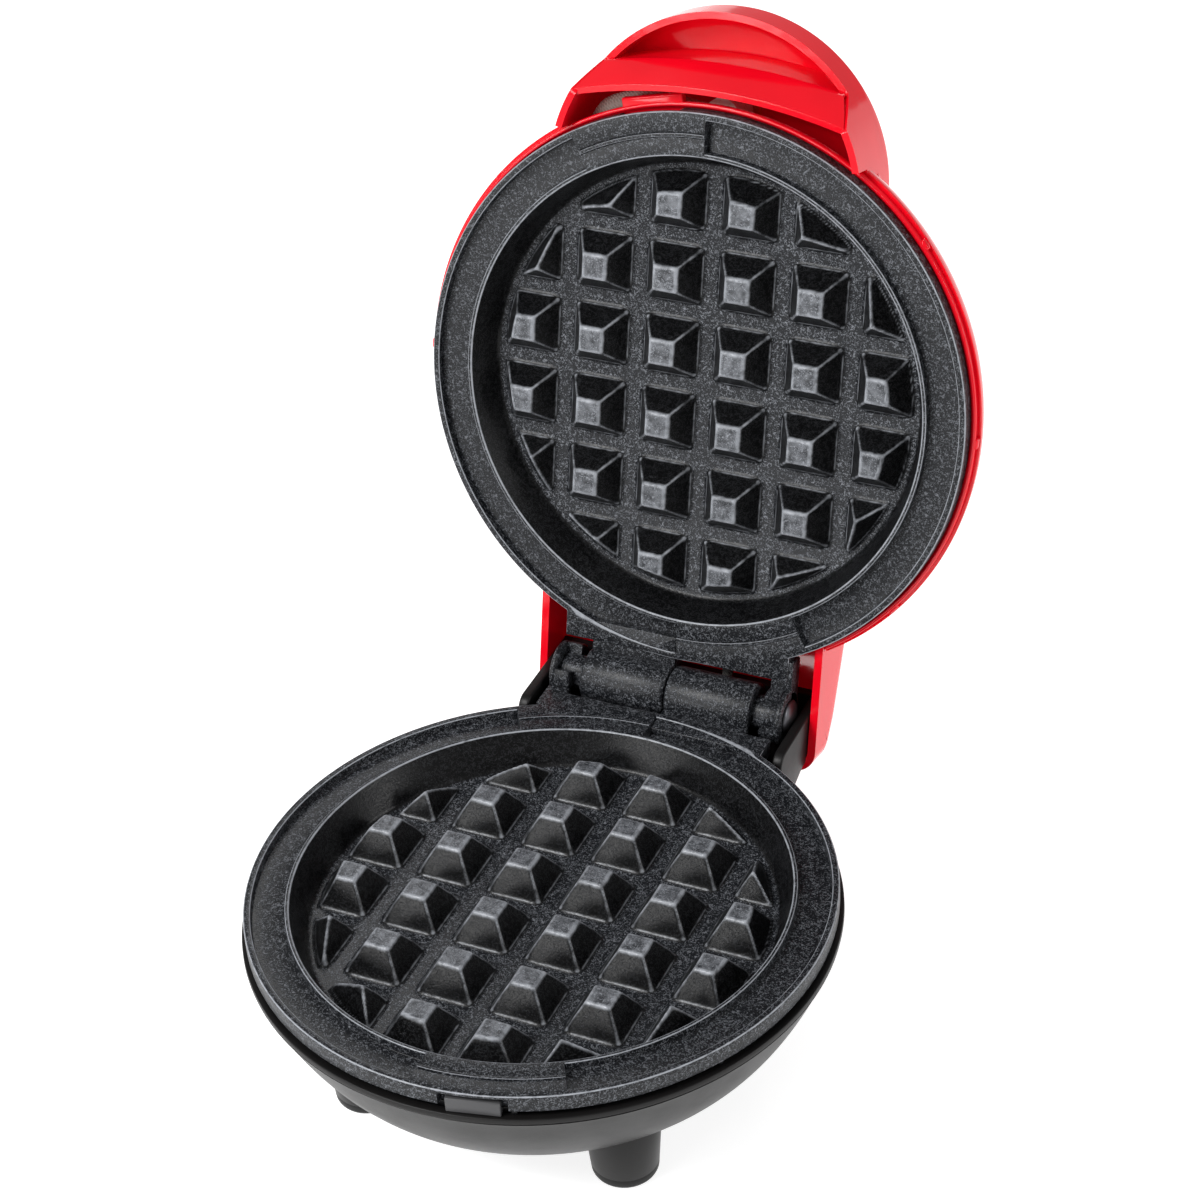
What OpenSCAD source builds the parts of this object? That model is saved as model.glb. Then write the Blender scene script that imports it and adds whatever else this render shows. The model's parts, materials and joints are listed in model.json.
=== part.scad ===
// Round tabletop waffle maker with its lid open: a bowl-shaped base on four legs,
// two identical cast grid plates joined by a cast barrel hinge, and a domed lid
// whose front grows into a hooded finger handle. Millimetres, +Z up, handle side -Y.

/* [Waffle plates] */
// Outer radius of each cast plate
plate_r = 62.5; // [60:0.5:64]
// Radius of the cooking cavity at its mouth
cavity_r = 52.9; // [50:0.1:53.5]
// Depth of the cooking cavity
cavity_depth = 8.5; // [7:0.5:10]
// Distance between pyramid centres
grid_pitch = 16.7; // [15:0.1:17]
// Half width of a pyramid at the cavity floor
pyramid_half_foot = 6.52; // [5:0.01:7]
// Half width of a pyramid at its flat top
pyramid_half_top = 2.63; // [2:0.01:4]
// How far the pyramid tops stay below the mating plane
pyramid_drop = 1.9; // [1:0.1:3]
// Depth of the overflow channel around the cavity
channel_depth = 2.2; // [1:0.1:3]

/* [Hinge] */
// Distance from the plate centre back to the hinge axis
hinge_y = 70.5; // [70:0.5:73]
// How far the lid stands open from closed
open_deg = 104; // [60:1:108]
// Outer radius of the hinge barrels and hooks
barrel_r = 6.3; // [6:0.1:6.8]
// Radius of the hinge pin
pin_r = 2; // [1.5:0.1:2.5]

/* [Base] */
// Radius of the base shell at its rim
base_r = 63.5; // [63.5:0.5:66]
// Radius of the flat bottom of the bowl
base_bottom_r = 32; // [30:1:38]
// Height of the mating plane above the table
plate_height = 44; // [42:1:50]
// Wall thickness of the moulded shells
wall = 2.2; // [1.8:0.1:2.6]
// Radius of a leg where it meets its foot pad
leg_r = 7.2; // [6:0.1:8]

/* [Lid] */
// Radius of the lid shell at its rim
lid_r = 64.5; // [64.5:0.5:66]
// Height of the lid dome above the mating plane
lid_top = 30; // [28:1:34]
// Radius of the round handle hood seen from above
handle_r = 35.6; // [34:0.1:37]
// Distance from the plate centre forward to the centre of the handle hood
handle_y = 46.5; // [44:0.5:48]
// Height of the finger gap under the handle tip
finger_z = 9; // [7:0.5:11]

/* [Hidden] */
$fn = 96;
eps = 0.1;

// Plates: each is drawn as the lower one, top face just below the hinge axis height
gap = 0.3;                        // space left between the two closed plates
top_z = -gap / 2;
rim_h = 4;                        // visible height of the plate's outer wall
rim_bottom = top_z - rim_h;
floor_z = top_z - cavity_depth;
floor_t = 3.4;                    // metal under the cavity floor
under_z = floor_z - floor_t;
cavity_floor_r = cavity_r - 2.7;
well_r = cavity_r + 1.6;
channel_in = cavity_r + 0.9;
channel_out = plate_r - 1.6;
arc_deg = 30;                     // length of each full-height arc between the channels
grid_y = 0.55;                    // the grid sits this much nearer the hinge
cells = 6;
pyramid_h = cavity_depth - pyramid_drop;
pyramid_slope = (pyramid_half_foot - pyramid_half_top) / pyramid_h;
grid_r = cavity_floor_r - 1.9;    // the outer pyramids are trimmed to this circle
boss_r = 3.6;
boss_x = 35;
boss_y = 18;
boss_bottom = -19.8;
clip_a = 12.5;                    // angle of the locating notch from the front
notch_w = 14;

// Hinge, from the middle outwards
barrel_x = 20.5;
hook_x0 = 23;
hook_x1 = 28;
hook_back = 1.3;                  // thickness of the hook's closed end
stub_r = 3.8;
run = 0.05;                       // running clearance in the hinge bores
tab_x = 27;
tab_y = hinge_y - 8.2;

// Base
rim_z = -5.5;
side_z = -6.5;                    // the rim is upright down to here
bowl_bottom = -33;
leg_front = [30, -29.5];
leg_back = [23.5, 57];
leg_taper = 1.2;                  // a leg's radius grows by this up to the bowl
pad_h = 3;
table_z = -plate_height;
cheek_x = 32;
cheek_in = 29.6;
neck_r = 11.5;                    // the neck ends in this radius about the hinge axis
neck_top = 0;

// Lid, drawn closed
lid_rim_z = 4.9;
handle_edge_z = 17;               // where the handle's wall starts to round over
handle_top = 23.5;
skirt_r = 122;                    // large radius of the front of the skirt
skirt_y = -67.6;
box_x = 36.8;
box_y = 86;
box_z = 2.2;

// Cord inlet: a bush square to the back of the bowl, below the neck
inlet_a = 40;                     // its axis points this far below level
inlet_side = bowl_side(58, 0);
inlet = [0, inlet_side[0], inlet_side[1]];
gland_out = 5;
gland_length = 9;

// Screws that come up through the bowl into the plate's bosses
screw_head_z = -29;
screw_end_z = -14;

// Heating and wiring
element_r = 31;
element_tube = 3.2;
element_z = under_z - element_tube;
element_gap = 50;                 // degrees left open between the element's ends
reflector_t = 0.8;
reflector_z = boss_bottom - 0.05 - reflector_t;   // clamped under the plate's bosses
lens_y = -60;
lead_r = 0.8;
block_y = 17;                     // terminal block
block_z = -27;
sleeve_r = 1.25;

// The standing object is centred on its own box: front of the base to back of the open lid
function opened_y(p) = hinge_y + (p[0] - hinge_y) * cos(open_deg) + p[1] * sin(open_deg);
front_y = -base_r;
handle_profile = [for (a = [0:10:90]) [-handle_y - handle_r * (0.84 + 0.16 * cos(a)),
    handle_edge_z + (handle_top - handle_edge_z) * sin(a) * 0.5]];
back_y = max([for (p = handle_profile) opened_y(p)]);
mid_y = (front_y + back_y) / 2;

function ellipse(rx, rz, from, to, n) =
    [for (i = [0:n]) let (a = from + (to - from) * i / n) [rx * cos(a), rz * sin(a)]];
function shift(points, by) = [for (p = points) p + by];

module standing() translate([0, -mid_y, plate_height]) children();
module opened() translate([0, hinge_y, 0]) rotate([-open_deg, 0, 0]) translate([0, -hinge_y, 0]) children();
// A shape drawn with x as depth (+Y) and y as height (+Z), spread along X from x0 to x1
module across(x0, x1) translate([x0, 0, 0]) rotate([90, 0, 90]) linear_extrude(height = x1 - x0) children();
module rod(x0, x1, r) translate([x0, hinge_y, 0]) rotate([0, 90, 0]) cylinder(r = r, h = x1 - x0);
// A tube of radius r swept through the points, with a ring square to the route at each point
tube_sides = 8;
function unit(v) = v / norm(v);
function tangent(p, i) = unit(unit(p[min(i + 1, len(p) - 1)] - p[min(i, len(p) - 2)])
    + unit(p[max(i, 1)] - p[max(i - 1, 0)]));
function ring(p, i, r, side) = let (t = tangent(p, i), a = unit(cross(t, side)), b = cross(t, a))
    [for (k = [0:tube_sides - 1]) p[i] + r * (a * cos(360 * k / tube_sides) + b * sin(360 * k / tube_sides))];
module tube_through(points, r, side = [0.3, 0.2, 0.93]) {
    n = tube_sides;
    last = len(points) - 1;
    polyhedron([for (i = [0:last]) each ring(points, i, r, side)],
        concat([[for (k = [0:n - 1]) k]],
            [for (i = [0:last - 1], k = [0:n - 1])
                [i * n + k, (i + 1) * n + k, (i + 1) * n + (k + 1) % n, i * n + (k + 1) % n]],
            [[for (k = [n - 1:-1:0]) last * n + k]]));
}

// ---- Waffle plates ----

module pyramids() intersection() {
    reach = cells * grid_pitch / 2;
    foot = pyramid_half_foot;
    top = pyramid_half_top;
    profile = [[-foot, -eps], [foot, -eps], [foot, 0], [top, pyramid_h], [-top, pyramid_h], [-foot, 0]];
    translate([0, 0, floor_z]) for (i = [0:cells - 1])
        translate([(i - (cells - 1) / 2) * grid_pitch, reach, 0]) rotate([90, 0, 0])
            linear_extrude(height = 2 * reach) polygon(profile);
    translate([0, grid_y, floor_z]) for (i = [0:cells - 1])
        translate([-reach, (i - (cells - 1) / 2) * grid_pitch, 0]) rotate([90, 0, 90])
            linear_extrude(height = 2 * reach) polygon(profile);
    translate([0, 0, floor_z - eps])
        cylinder(r1 = grid_r + pyramid_slope * eps, r2 = grid_r - pyramid_slope * pyramid_h, h = pyramid_h + eps);
}

module hinge_side() {
    translate([-tab_x, 0, rim_bottom]) cube([2 * tab_x, tab_y, rim_h]);
    web_y = tab_y - 4;
    for (x = [[gap / 2, barrel_x], [-hook_x1, -hook_x0]])
        translate([x[0], web_y, top_z - 5]) cube([x[1] - x[0], hinge_y - web_y, 5]);
    rod(gap / 2, barrel_x, barrel_r);
    rod(barrel_x, hook_x1 - hook_back - gap, stub_r);
    rod(-hook_x1, -hook_x0, barrel_r);
}

module hinge_bores() {
    rod(-hook_x1 - eps, barrel_x + hook_x1, pin_r + run);
    rod(-hook_x1 + hook_back, -hook_x0 + eps, stub_r + run);
    // window that shows the stub inside the hook
    across(-hook_x1 + hook_back, -hook_x0 + eps) translate([hinge_y, 0])
        polygon([for (a = [33, 52, 72, 92, 111]) 10 * [-cos(a), sin(a)], [0, 0]]);
}

module waffle_plate() {
    difference() {
        union() {
            translate([0, 0, rim_bottom]) cylinder(r = plate_r, h = rim_h);
            translate([0, 0, under_z]) cylinder(r1 = well_r - 2, r2 = well_r, h = rim_bottom - under_z);
            for (x = [-boss_x, boss_x], y = [-boss_y, boss_y])
                translate([x, y, boss_bottom]) cylinder(r = boss_r, h = floor_z - 1 - boss_bottom);
            hinge_side();
        }
        translate([0, 0, floor_z]) cylinder(r1 = cavity_floor_r, r2 = cavity_r, h = cavity_depth);
        translate([0, 0, top_z - eps]) cylinder(r = cavity_r, h = 1);
        for (a = [-90 + arc_deg, 90 + arc_deg]) rotate([0, 0, a]) rotate_extrude(angle = 180 - arc_deg)
            translate([channel_in, top_z - channel_depth])
                square([channel_out - channel_in, channel_depth + 1]);
        rotate([0, 0, clip_a]) translate([-notch_w / 2, -plate_r - 1, rim_bottom - eps])
            cube([notch_w, 2.5, rim_h - 0.6]);
        for (x = [-boss_x, boss_x], y = [-boss_y, boss_y])
            translate([x, y, boss_bottom - eps]) cylinder(r = 1.45, h = 8);
        hinge_bores();
    }
    pyramids();
    // seal ribs on the full-height arcs
    for (a = [-90, 90]) rotate([0, 0, a + 1]) rotate_extrude(angle = arc_deg - 2)
        translate([57.1, top_z - eps]) square([0.8, eps + 0.8]);
}

module lower_plate() color([0.13, 0.14, 0.15]) standing() waffle_plate();
module upper_plate() color([0.14, 0.15, 0.16]) standing() opened() rotate([0, 180, 0]) waffle_plate();

// ---- Base ----

// point of the bowl's side: full below the rim, then turning in to the flat bottom
function bowl_side(a, inset) = [base_bottom_r - inset + (base_r - base_bottom_r) * pow(cos(a), 0.6),
    side_z + (bowl_bottom + inset - side_z) * pow(sin(a), 2.2)];

module bowl(inset) {
    r = base_r - inset;
    rotate_extrude() polygon(concat([[0, rim_z + inset], [r, rim_z + inset]],
        [for (a = [0:5:90]) bowl_side(a, inset)], [[0, bowl_bottom + inset]]));
}

module neck_profile(inset) {
    r = neck_r - inset;
    polygon(concat([[40, -9]], inset > 0 ? [[50, 1]] : [[55.4, rim_z], [55.6, -3.5], [57, -1], [59, neck_top]],
        [[hinge_y + r, inset > 0 ? 1 : neck_top]],
        [for (a = [0:-10:-100]) [hinge_y + r * cos(a), r * sin(a)]],
        [[62.5, -13.4 + inset], [49, -27 + inset], [40, -28 + inset]]));
}

module leg(at, top) translate([at[0], at[1], table_z + pad_h])
    cylinder(r1 = leg_r, r2 = leg_r + leg_taper, h = top - table_z - pad_h);

module legs() {
    for (x = [-1, 1]) {
        leg([x * leg_front[0], leg_front[1]], -26);
        leg([x * leg_back[0], leg_back[1]], -11.5);
    }
}

module at_cord_inlet() translate(inlet) rotate([90 - inlet_a, 0, 0]) children();

module base_shell() color([0.2, 0.2, 0.2]) standing() difference() {
    union() {
        bowl(0);
        intersection() {
            across(-cheek_x, cheek_x) neck_profile(0);
            translate([-50, 40, -40]) cube([100, 60, 40]);
        }
        legs();
    }
    difference() {
        union() {
            translate([0, 0, eps]) bowl(wall);
            across(-cheek_in, cheek_in) neck_profile(wall);
        }
        for (x = [-boss_x, boss_x], y = [-boss_y, boss_y])
            translate([x, y, bowl_bottom]) cylinder(r = 4.6, h = reflector_z - 0.05 - bowl_bottom);
    }
    // screws come up from below through the bowl
    for (x = [-boss_x, boss_x], y = [-boss_y, boss_y]) {
        translate([x, y, table_z]) cylinder(r = 1.8, h = screw_end_z - table_z);
        translate([x, y, table_z]) cylinder(r = 3.6, h = screw_head_z - table_z);
    }
    // the cord comes in through the back of the bowl
    at_cord_inlet() translate([0, 0, -8]) cylinder(r = 5.1, h = 16);
    // cooling slots in the bottom
    for (x = [-12:6:12]) translate([x - 1.2, -14, bowl_bottom - 1]) cube([2.4, 28, 6]);
}

module base_ring() color([0.06, 0.06, 0.06]) standing() {
    ring_r = base_r - wall - 0.4;
    difference() {
        translate([0, 0, rim_z - 1.4]) cylinder(r = ring_r, h = rim_bottom - rim_z + 1.3);
        translate([0, 0, rim_z - 4]) cylinder(r = 57, h = 10);
        translate([-cheek_in, 40, rim_z - 4]) cube([2 * cheek_in, 40, 10]);
    }
    // tab that sits in the plate's notch
    rotate([0, 0, clip_a]) translate([-5.6, -plate_r + 0.1, rim_z + 0.1]) cube([11.2, 1.3, 3.5]);
    rotate([0, 0, clip_a]) translate([-5.6, -plate_r + 0.1, rim_z + 0.1]) cube([11.2, 3, 1.2]);
    // snap lugs over the shell's rim
    for (a = [-190:40:50]) rotate([0, 0, a]) translate([ring_r - 0.8, -0.6, rim_z + 0.05]) cube([1.8, 1.2, 0.9]);
}

module foot_pads() color([0.12, 0.12, 0.12]) standing()
    for (x = [-1, 1], at = [leg_front, leg_back]) translate([x * at[0], at[1], table_z])
        rotate_extrude() polygon(concat([[0, pad_h], [leg_r, pad_h]],
            [for (a = [0:-15:-90]) [leg_r - 1.6 + 1.6 * cos(a), 1.6 + 1.6 * sin(a)]], [[0, 0]]));

module screw(r, length, head_r, head_h) {
    cylinder(r = r, h = length);
    translate([0, 0, -head_h]) difference() {
        cylinder(r = head_r, h = head_h);
        for (a = [0, 90]) rotate([0, 0, a]) translate([-head_r * 0.6, -0.35, -eps]) cube([head_r * 1.2, 0.7, 0.8]);
    }
}

module base_screws() color([0.6, 0.6, 0.62]) standing()
    for (x = [-boss_x, boss_x], y = [-boss_y, boss_y])
        translate([x, y, screw_head_z]) screw(1.4, 14, 3.2, 1.8);

// ---- Heating ----

module element() {
    bend = 3.6;
    rotate([0, 0, 90 + element_gap / 2]) rotate_extrude(angle = 360 - element_gap)
        translate([element_r, 0]) circle(r = element_tube);
    for (a = [90 - element_gap / 2, 90 + element_gap / 2]) rotate([0, 0, a]) translate([element_r, 0, 0]) {
        sphere(r = element_tube);
        translate([0, 0, -bend]) cylinder(r = element_tube, h = bend);
    }
}

module terminals() for (a = [90 - element_gap / 2, 90 + element_gap / 2]) rotate([0, 0, a])
    translate([element_r, 0, 0]) {
        translate([0, 0, -5.4]) cylinder(r = 2.6, h = 1.8);
        translate([0, 0, -8]) cylinder(r = 1.1, h = 2.6);
    }

module clips() for (a = [-90, 30, 150]) rotate([0, 0, a]) translate([element_r, 0, 0]) {
    translate([-element_tube - 1.1, -3, -element_tube - 0.6]) cube([2 * element_tube + 2.2, 6, 0.55]);
    for (s = [-1, 1]) translate([s * (element_tube + 0.7) - 0.4, -3, -element_tube - 0.6])
        cube([0.8, 6, 2 * element_tube + 0.6]);
}

// dished sheet clamped under the bosses, with holes for screws, terminals and thermostat
module reflector() translate([0, 0, reflector_z]) difference() {
    rotate_extrude() polygon([[0, 0], [44.4, 0], [51, 4.6], [51, 4.6 + reflector_t], [50.6, 4.6 + reflector_t],
        [44, reflector_t], [0, reflector_t]]);
    translate([0, 0, -1]) cylinder(r = 10.5, h = 3);
    for (x = [-boss_x, boss_x], y = [-boss_y, boss_y]) translate([x, y, -1]) cylinder(r = 1.6, h = 3);
    for (a = [90 - element_gap / 2, 90 + element_gap / 2]) rotate([0, 0, a])
        translate([element_r, 0, -1]) cylinder(r = element_tube + 1, h = 3);
    for (a = [60, 180, 300]) rotate([0, 0, a]) translate([22, 0, -1]) cylinder(r = 1.7, h = 3);
}

module reflector_screws() for (a = [60, 180, 300]) rotate([0, 0, a])
    translate([22, 0, reflector_z]) screw(1.3, under_z - reflector_z, 2.8, 1.2);

module lower_element() color([0.45, 0.43, 0.4]) standing() translate([0, 0, element_z]) element();
module lower_terminals() color([0.7, 0.7, 0.68]) standing() translate([0, 0, element_z]) terminals();
module lower_element_clips() color([0.7, 0.7, 0.7]) standing() translate([0, 0, element_z]) clips();
module lower_reflector() color([0.75, 0.76, 0.78]) standing() reflector();
module lower_reflector_screws() color([0.6, 0.6, 0.62]) standing() reflector_screws();

module in_lid() standing() opened() rotate([0, 180, 0]) children();
module upper_element() color([0.45, 0.43, 0.4]) in_lid() translate([0, 0, element_z]) element();
module upper_terminals() color([0.7, 0.7, 0.68]) in_lid() translate([0, 0, element_z]) terminals();
module upper_element_clips() color([0.7, 0.7, 0.7]) in_lid() translate([0, 0, element_z]) clips();
module upper_reflector() color([0.75, 0.76, 0.78]) in_lid() reflector();
module upper_reflector_screws() color([0.6, 0.6, 0.62]) in_lid() reflector_screws();

module thermostat() color([0.85, 0.82, 0.72]) standing() {
    translate([0, 0, under_z - 1.6]) cylinder(r = 7.6, h = 1.6);
    translate([0, 0, under_z - 7.6]) cylinder(r = 8.6, h = 6);
    for (s = [-1, 1]) translate([s * 4.5 - 1.6, -0.4, under_z - 12.6]) cube([3.2, 0.8, 5]);
}

module thermostat_bracket() color([0.7, 0.7, 0.72]) standing() difference() {
    union() {
        translate([0, 0, under_z - 2.6]) cylinder(r = 11.5, h = 0.9);
        for (s = [-1, 1]) translate([s * 12.5 - 2.5, -3.5, under_z - 2.6]) cube([5, 7, 2.6]);
    }
    translate([0, 0, under_z - 9]) cylinder(r = 8.8, h = 12);
}

module thermal_fuse() color([0.9, 0.88, 0.8]) standing() translate([-17, -9, boss_bottom - 3.6]) {
    rotate([-90, 0, 0]) cylinder(r = 2, h = 12);
    translate([0, -5, 0]) rotate([-90, 0, 0]) cylinder(r = 0.6, h = 5);
    translate([0, 12, 0]) rotate([-90, 0, 0]) cylinder(r = 0.6, h = 5);
}

module terminal_block() color([0.85, 0.85, 0.82]) standing() difference() {
    translate([-13, block_y, bowl_bottom + wall + eps]) cube([26, 10, 8.4]);
    for (x = [-8, 0, 8]) translate([x, block_y - 1, block_z]) rotate([-90, 0, 0]) cylinder(r = 1.6, h = 12);
    for (x = [-8, 0, 8]) translate([x, block_y + 5, block_z]) cylinder(r = 1.4, h = 6);
}

// bush with a flange outside and a lip inside the neck floor
module cord_gland() color([0.05, 0.05, 0.05]) standing() at_cord_inlet() difference() {
    union() {
        translate([0, 0, -gland_out]) cylinder(r = 5, h = gland_length);
        translate([0, 0, -2.6]) cylinder(r = 7.2, h = 2.5);
    }
    translate([0, 0, -gland_out - eps]) cylinder(r = 3.2, h = gland_length + 2 * eps);
}

// terminal block to thermal fuse, fuse to thermostat, thermostat back to block, block to lid
module base_leads() color([0.75, 0.73, 0.68]) standing() {
    tube_through([[-8, block_y + 2, block_z], [-8, 15, block_z], [-10, 12, -27], [-14, 11, -25.6],
        [-17, 10, -23.9], [-17, 8.1, -23.4]], lead_r);
    tube_through([[-17, -14.1, -23.4], [-16.6, -16.5, -24], [-14, -18, -25.5], [-10, -16, -27], [-6, -9, -28.3],
        [-4.7, -3, -28.5], [-4.5, 0, -27], [-4.5, 0, -24.8]], lead_r);
    tube_through([[4.5, 0, -24.8], [4.5, 0, -27], [4.8, 3, -28.4], [6.5, 8, -28.4], [8, 13, -27.4],
        [8, block_y + 2, block_z]], lead_r);
    tube_through([[0, block_y + 8, block_z], [0, 30, -27], [4, 41, -25.8], [8, 49, -22.5], [10, 54.5, -17],
        [10, 57.2, -11.5], [10, 59.6, -8.4], [10, 62, -7.8]], lead_r);
}

module base_lead_sleeve() color([0.8, 0.78, 0.72]) standing()
    tube_through([[10, 62.1, -7.8], [10, hinge_y - 1, -7.8]], sleeve_r);

module hinge_pin() color([0.55, 0.55, 0.57]) standing() {
    rod(-hook_x1 - 0.9, hook_x1 + 0.2, pin_r);
    translate([hook_x1 + 0.2, hinge_y, 0]) rotate([0, 90, 0]) rotate_extrude()
        polygon(concat([[0, 0]], [for (a = [0:15:90]) [4.2 * cos(a), 1.1 * sin(a)]]));
}

module hinge_pin_clip() color([0.6, 0.6, 0.62]) standing() difference() {
    rod(-hook_x1 - 0.7, -hook_x1 - 0.1, 3.6);
    rod(-hook_x1 - 2, -hook_x1 + 1, pin_r);
    translate([-hook_x1 - 2, hinge_y - 1.5, 0]) cube([4, 3, 6]);
}

// ---- Lid ----

module dome(inset) rotate_extrude() polygon(concat([[0, lid_rim_z - inset]], [[lid_r - inset, lid_rim_z - inset]],
    [for (p = ellipse(1, 1, 0, 90, 18)) [(lid_r - inset) * p[0],
        lid_rim_z + (lid_top - inset - lid_rim_z) * p[1]]]));

module hood(inset, low) translate([0, -handle_y, 0]) rotate_extrude() polygon(concat([[0, low], [handle_r - inset, low]],
    [for (p = ellipse(1, 1, 0, 90, 9)) [handle_r * 0.84 - inset + handle_r * 0.16 * p[0],
        handle_edge_z + (handle_top - inset - handle_edge_z) * 0.5 * p[1]]],
    [[0, handle_top - inset]]));

module behind_skirt(inset) translate([0, skirt_y + skirt_r, -1])
    cylinder(r = skirt_r - inset, h = lid_top + 2);

module box_profile(inset) polygon([[30, box_z - (inset > 0 ? 3 : 0)], [box_y - inset, box_z - (inset > 0 ? 3 : 0)],
    [box_y - inset, 10], [box_y - inset - 3, 14.5 - inset / 2], [box_y - 12, 17.2 - inset], [58, 21.6 - inset],
    [44, 24 - inset], [30, 24 - inset]]);

module lid_outer() {
    dome(0);
    hood(0, finger_z);
    intersection() {
        hood(0, 0);
        behind_skirt(0);
    }
    across(-box_x, box_x) box_profile(0);
}

module lid_hollow() {
    dome(wall);
    translate([0, 0, -1]) cylinder(r = lid_r - 0.6, h = lid_rim_z + 1);
    intersection() {
        hood(wall, -1);
        behind_skirt(wall);
    }
    across(-box_x + wall, box_x - wall) box_profile(wall);
}

module finger_recess() difference() {
    hood(wall, -1);
    behind_skirt(0);
}

module lid_shell() color([0.85, 0.05, 0.08]) standing() opened() difference() {
    lid_outer();
    lid_hollow();
    finger_recess();
    // seat and hole for the indicator lens
    translate([0, lens_y, 10]) cylinder(r = 4, h = 20);
}

module lid_ring() color([0.8, 0.04, 0.07]) standing() opened() {
    back = -rim_bottom + 0.05;
    difference() {
        union() {
            translate([0, 0, back]) cylinder(r = lid_r - wall - 1.1, h = 4);
            translate([0, 0, back - 1.2]) cylinder(r = lid_r - 1, h = lid_rim_z - 0.05 - back + 1.2);
        }
        cylinder(r = 57, h = 12);
        cylinder(r = plate_r + 0.3, h = back);
        translate([-31, 40, 0]) cube([62, 40, 12]);
    }
    // tab over the plate's notch
    rotate([0, 0, -clip_a]) translate([-7.1, -plate_r - 2.6, back]) cube([14.2, 3, 0.6]);
}

module upper_plate_screws() color([0.6, 0.6, 0.62]) in_lid()
    for (x = [-boss_x, boss_x], y = [-boss_y, boss_y]) translate([x, y, reflector_z - 0.05])
        screw(1.4, 8, 2.6, 0.9);

module indicator_lens() color([0.9, 0.9, 0.85]) standing() opened() translate([0, lens_y, 0]) {
    translate([0, 0, 19]) cylinder(r = 3.9, h = 4.3);
    translate([0, 0, 17.6]) cylinder(r = 5.2, h = 1.8);
}

module indicator_lamp() color([0.9, 0.5, 0.3]) standing() opened() translate([0, lens_y, 0]) {
    translate([0, 0, 10.5]) cylinder(r = 2, h = 4);
    translate([0, 0, 14.5]) sphere(r = 2);
}

module lamp_holder() color([0.85, 0.85, 0.85]) standing() opened() translate([0, lens_y, 0]) difference() {
    translate([0, 0, 9]) cylinder(r = 4, h = 8);
    translate([0, 0, 10.4]) cylinder(r = 2.6, h = 8);
}

module lamp_lead_sleeve() color([0.5, 0.42, 0.42]) standing() opened()
    tube_through([[-4.1, lens_y, 11], [-9, -60.6, 11], [-15, -61.2, 10.5], [-21.5, -60.4, 10.5], [-27, -57.8, 11],
        [-30, -53.2, 12]], 2, [0, 0, 1]);

// round the outside of the reflector, then back to the hinge
module lid_leads() color([0.75, 0.73, 0.68]) standing() opened()
    tube_through(concat([[-30.1, -52.9, 12], [-34, -46.5, 11], [-41, -37, 12.5]],
        [for (a = [-150:-15:-255]) [53.6 * cos(a), 53.6 * sin(a), 14.4]],
        [[0, 54.5, 14], [8, 56.5, 11.5], [10, 58.5, 9], [10, 60.6, 7.8], [10, 62, 7.8]]), lead_r);

module lid_lead_sleeve() color([0.8, 0.78, 0.72]) standing() opened()
    tube_through([[10, 62.1, 7.8], [10, hinge_y - 2.5, 7.8]], sleeve_r);

base_shell();
base_ring();
foot_pads();
base_screws();
lower_plate();
lower_element();
lower_terminals();
lower_element_clips();
lower_reflector();
lower_reflector_screws();
thermostat();
thermostat_bracket();
thermal_fuse();
terminal_block();
cord_gland();
base_leads();
base_lead_sleeve();
hinge_pin();
hinge_pin_clip();
lid_shell();
lid_ring();
upper_plate();
upper_plate_screws();
upper_element();
upper_terminals();
upper_element_clips();
upper_reflector();
upper_reflector_screws();
indicator_lens();
indicator_lamp();
lamp_holder();
lamp_lead_sleeve();
lid_leads();
lid_lead_sleeve();
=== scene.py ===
"""Looks for a small round waffle maker that stands open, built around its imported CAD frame.

Lengths inside the shape functions are millimetres, measured from the centre of the lower plate's
mating plane: +X right, +Y towards the hinge, +Z up. A piece of the lid is drawn closed, over the
lower plate, and is then swung open about the hinge axis.
"""
import json
import math

import bpy
import numpy as np
from mathutils import Matrix, Vector


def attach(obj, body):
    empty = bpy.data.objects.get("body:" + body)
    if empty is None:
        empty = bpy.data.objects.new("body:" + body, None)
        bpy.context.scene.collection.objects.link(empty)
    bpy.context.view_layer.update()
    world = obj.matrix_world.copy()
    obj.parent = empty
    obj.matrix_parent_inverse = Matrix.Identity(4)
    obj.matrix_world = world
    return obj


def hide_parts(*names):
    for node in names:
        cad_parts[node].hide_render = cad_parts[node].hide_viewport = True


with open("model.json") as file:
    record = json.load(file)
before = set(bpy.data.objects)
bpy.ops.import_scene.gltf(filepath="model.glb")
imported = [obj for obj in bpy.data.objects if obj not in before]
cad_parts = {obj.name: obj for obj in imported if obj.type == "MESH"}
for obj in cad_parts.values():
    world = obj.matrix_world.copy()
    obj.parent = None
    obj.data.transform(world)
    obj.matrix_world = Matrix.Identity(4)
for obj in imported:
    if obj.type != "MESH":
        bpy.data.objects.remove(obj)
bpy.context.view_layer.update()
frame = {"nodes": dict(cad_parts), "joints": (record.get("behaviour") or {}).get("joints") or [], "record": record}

MM = 0.001
TURN = 2 * math.pi

# ---- Driving sizes, in millimetres ----

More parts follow.
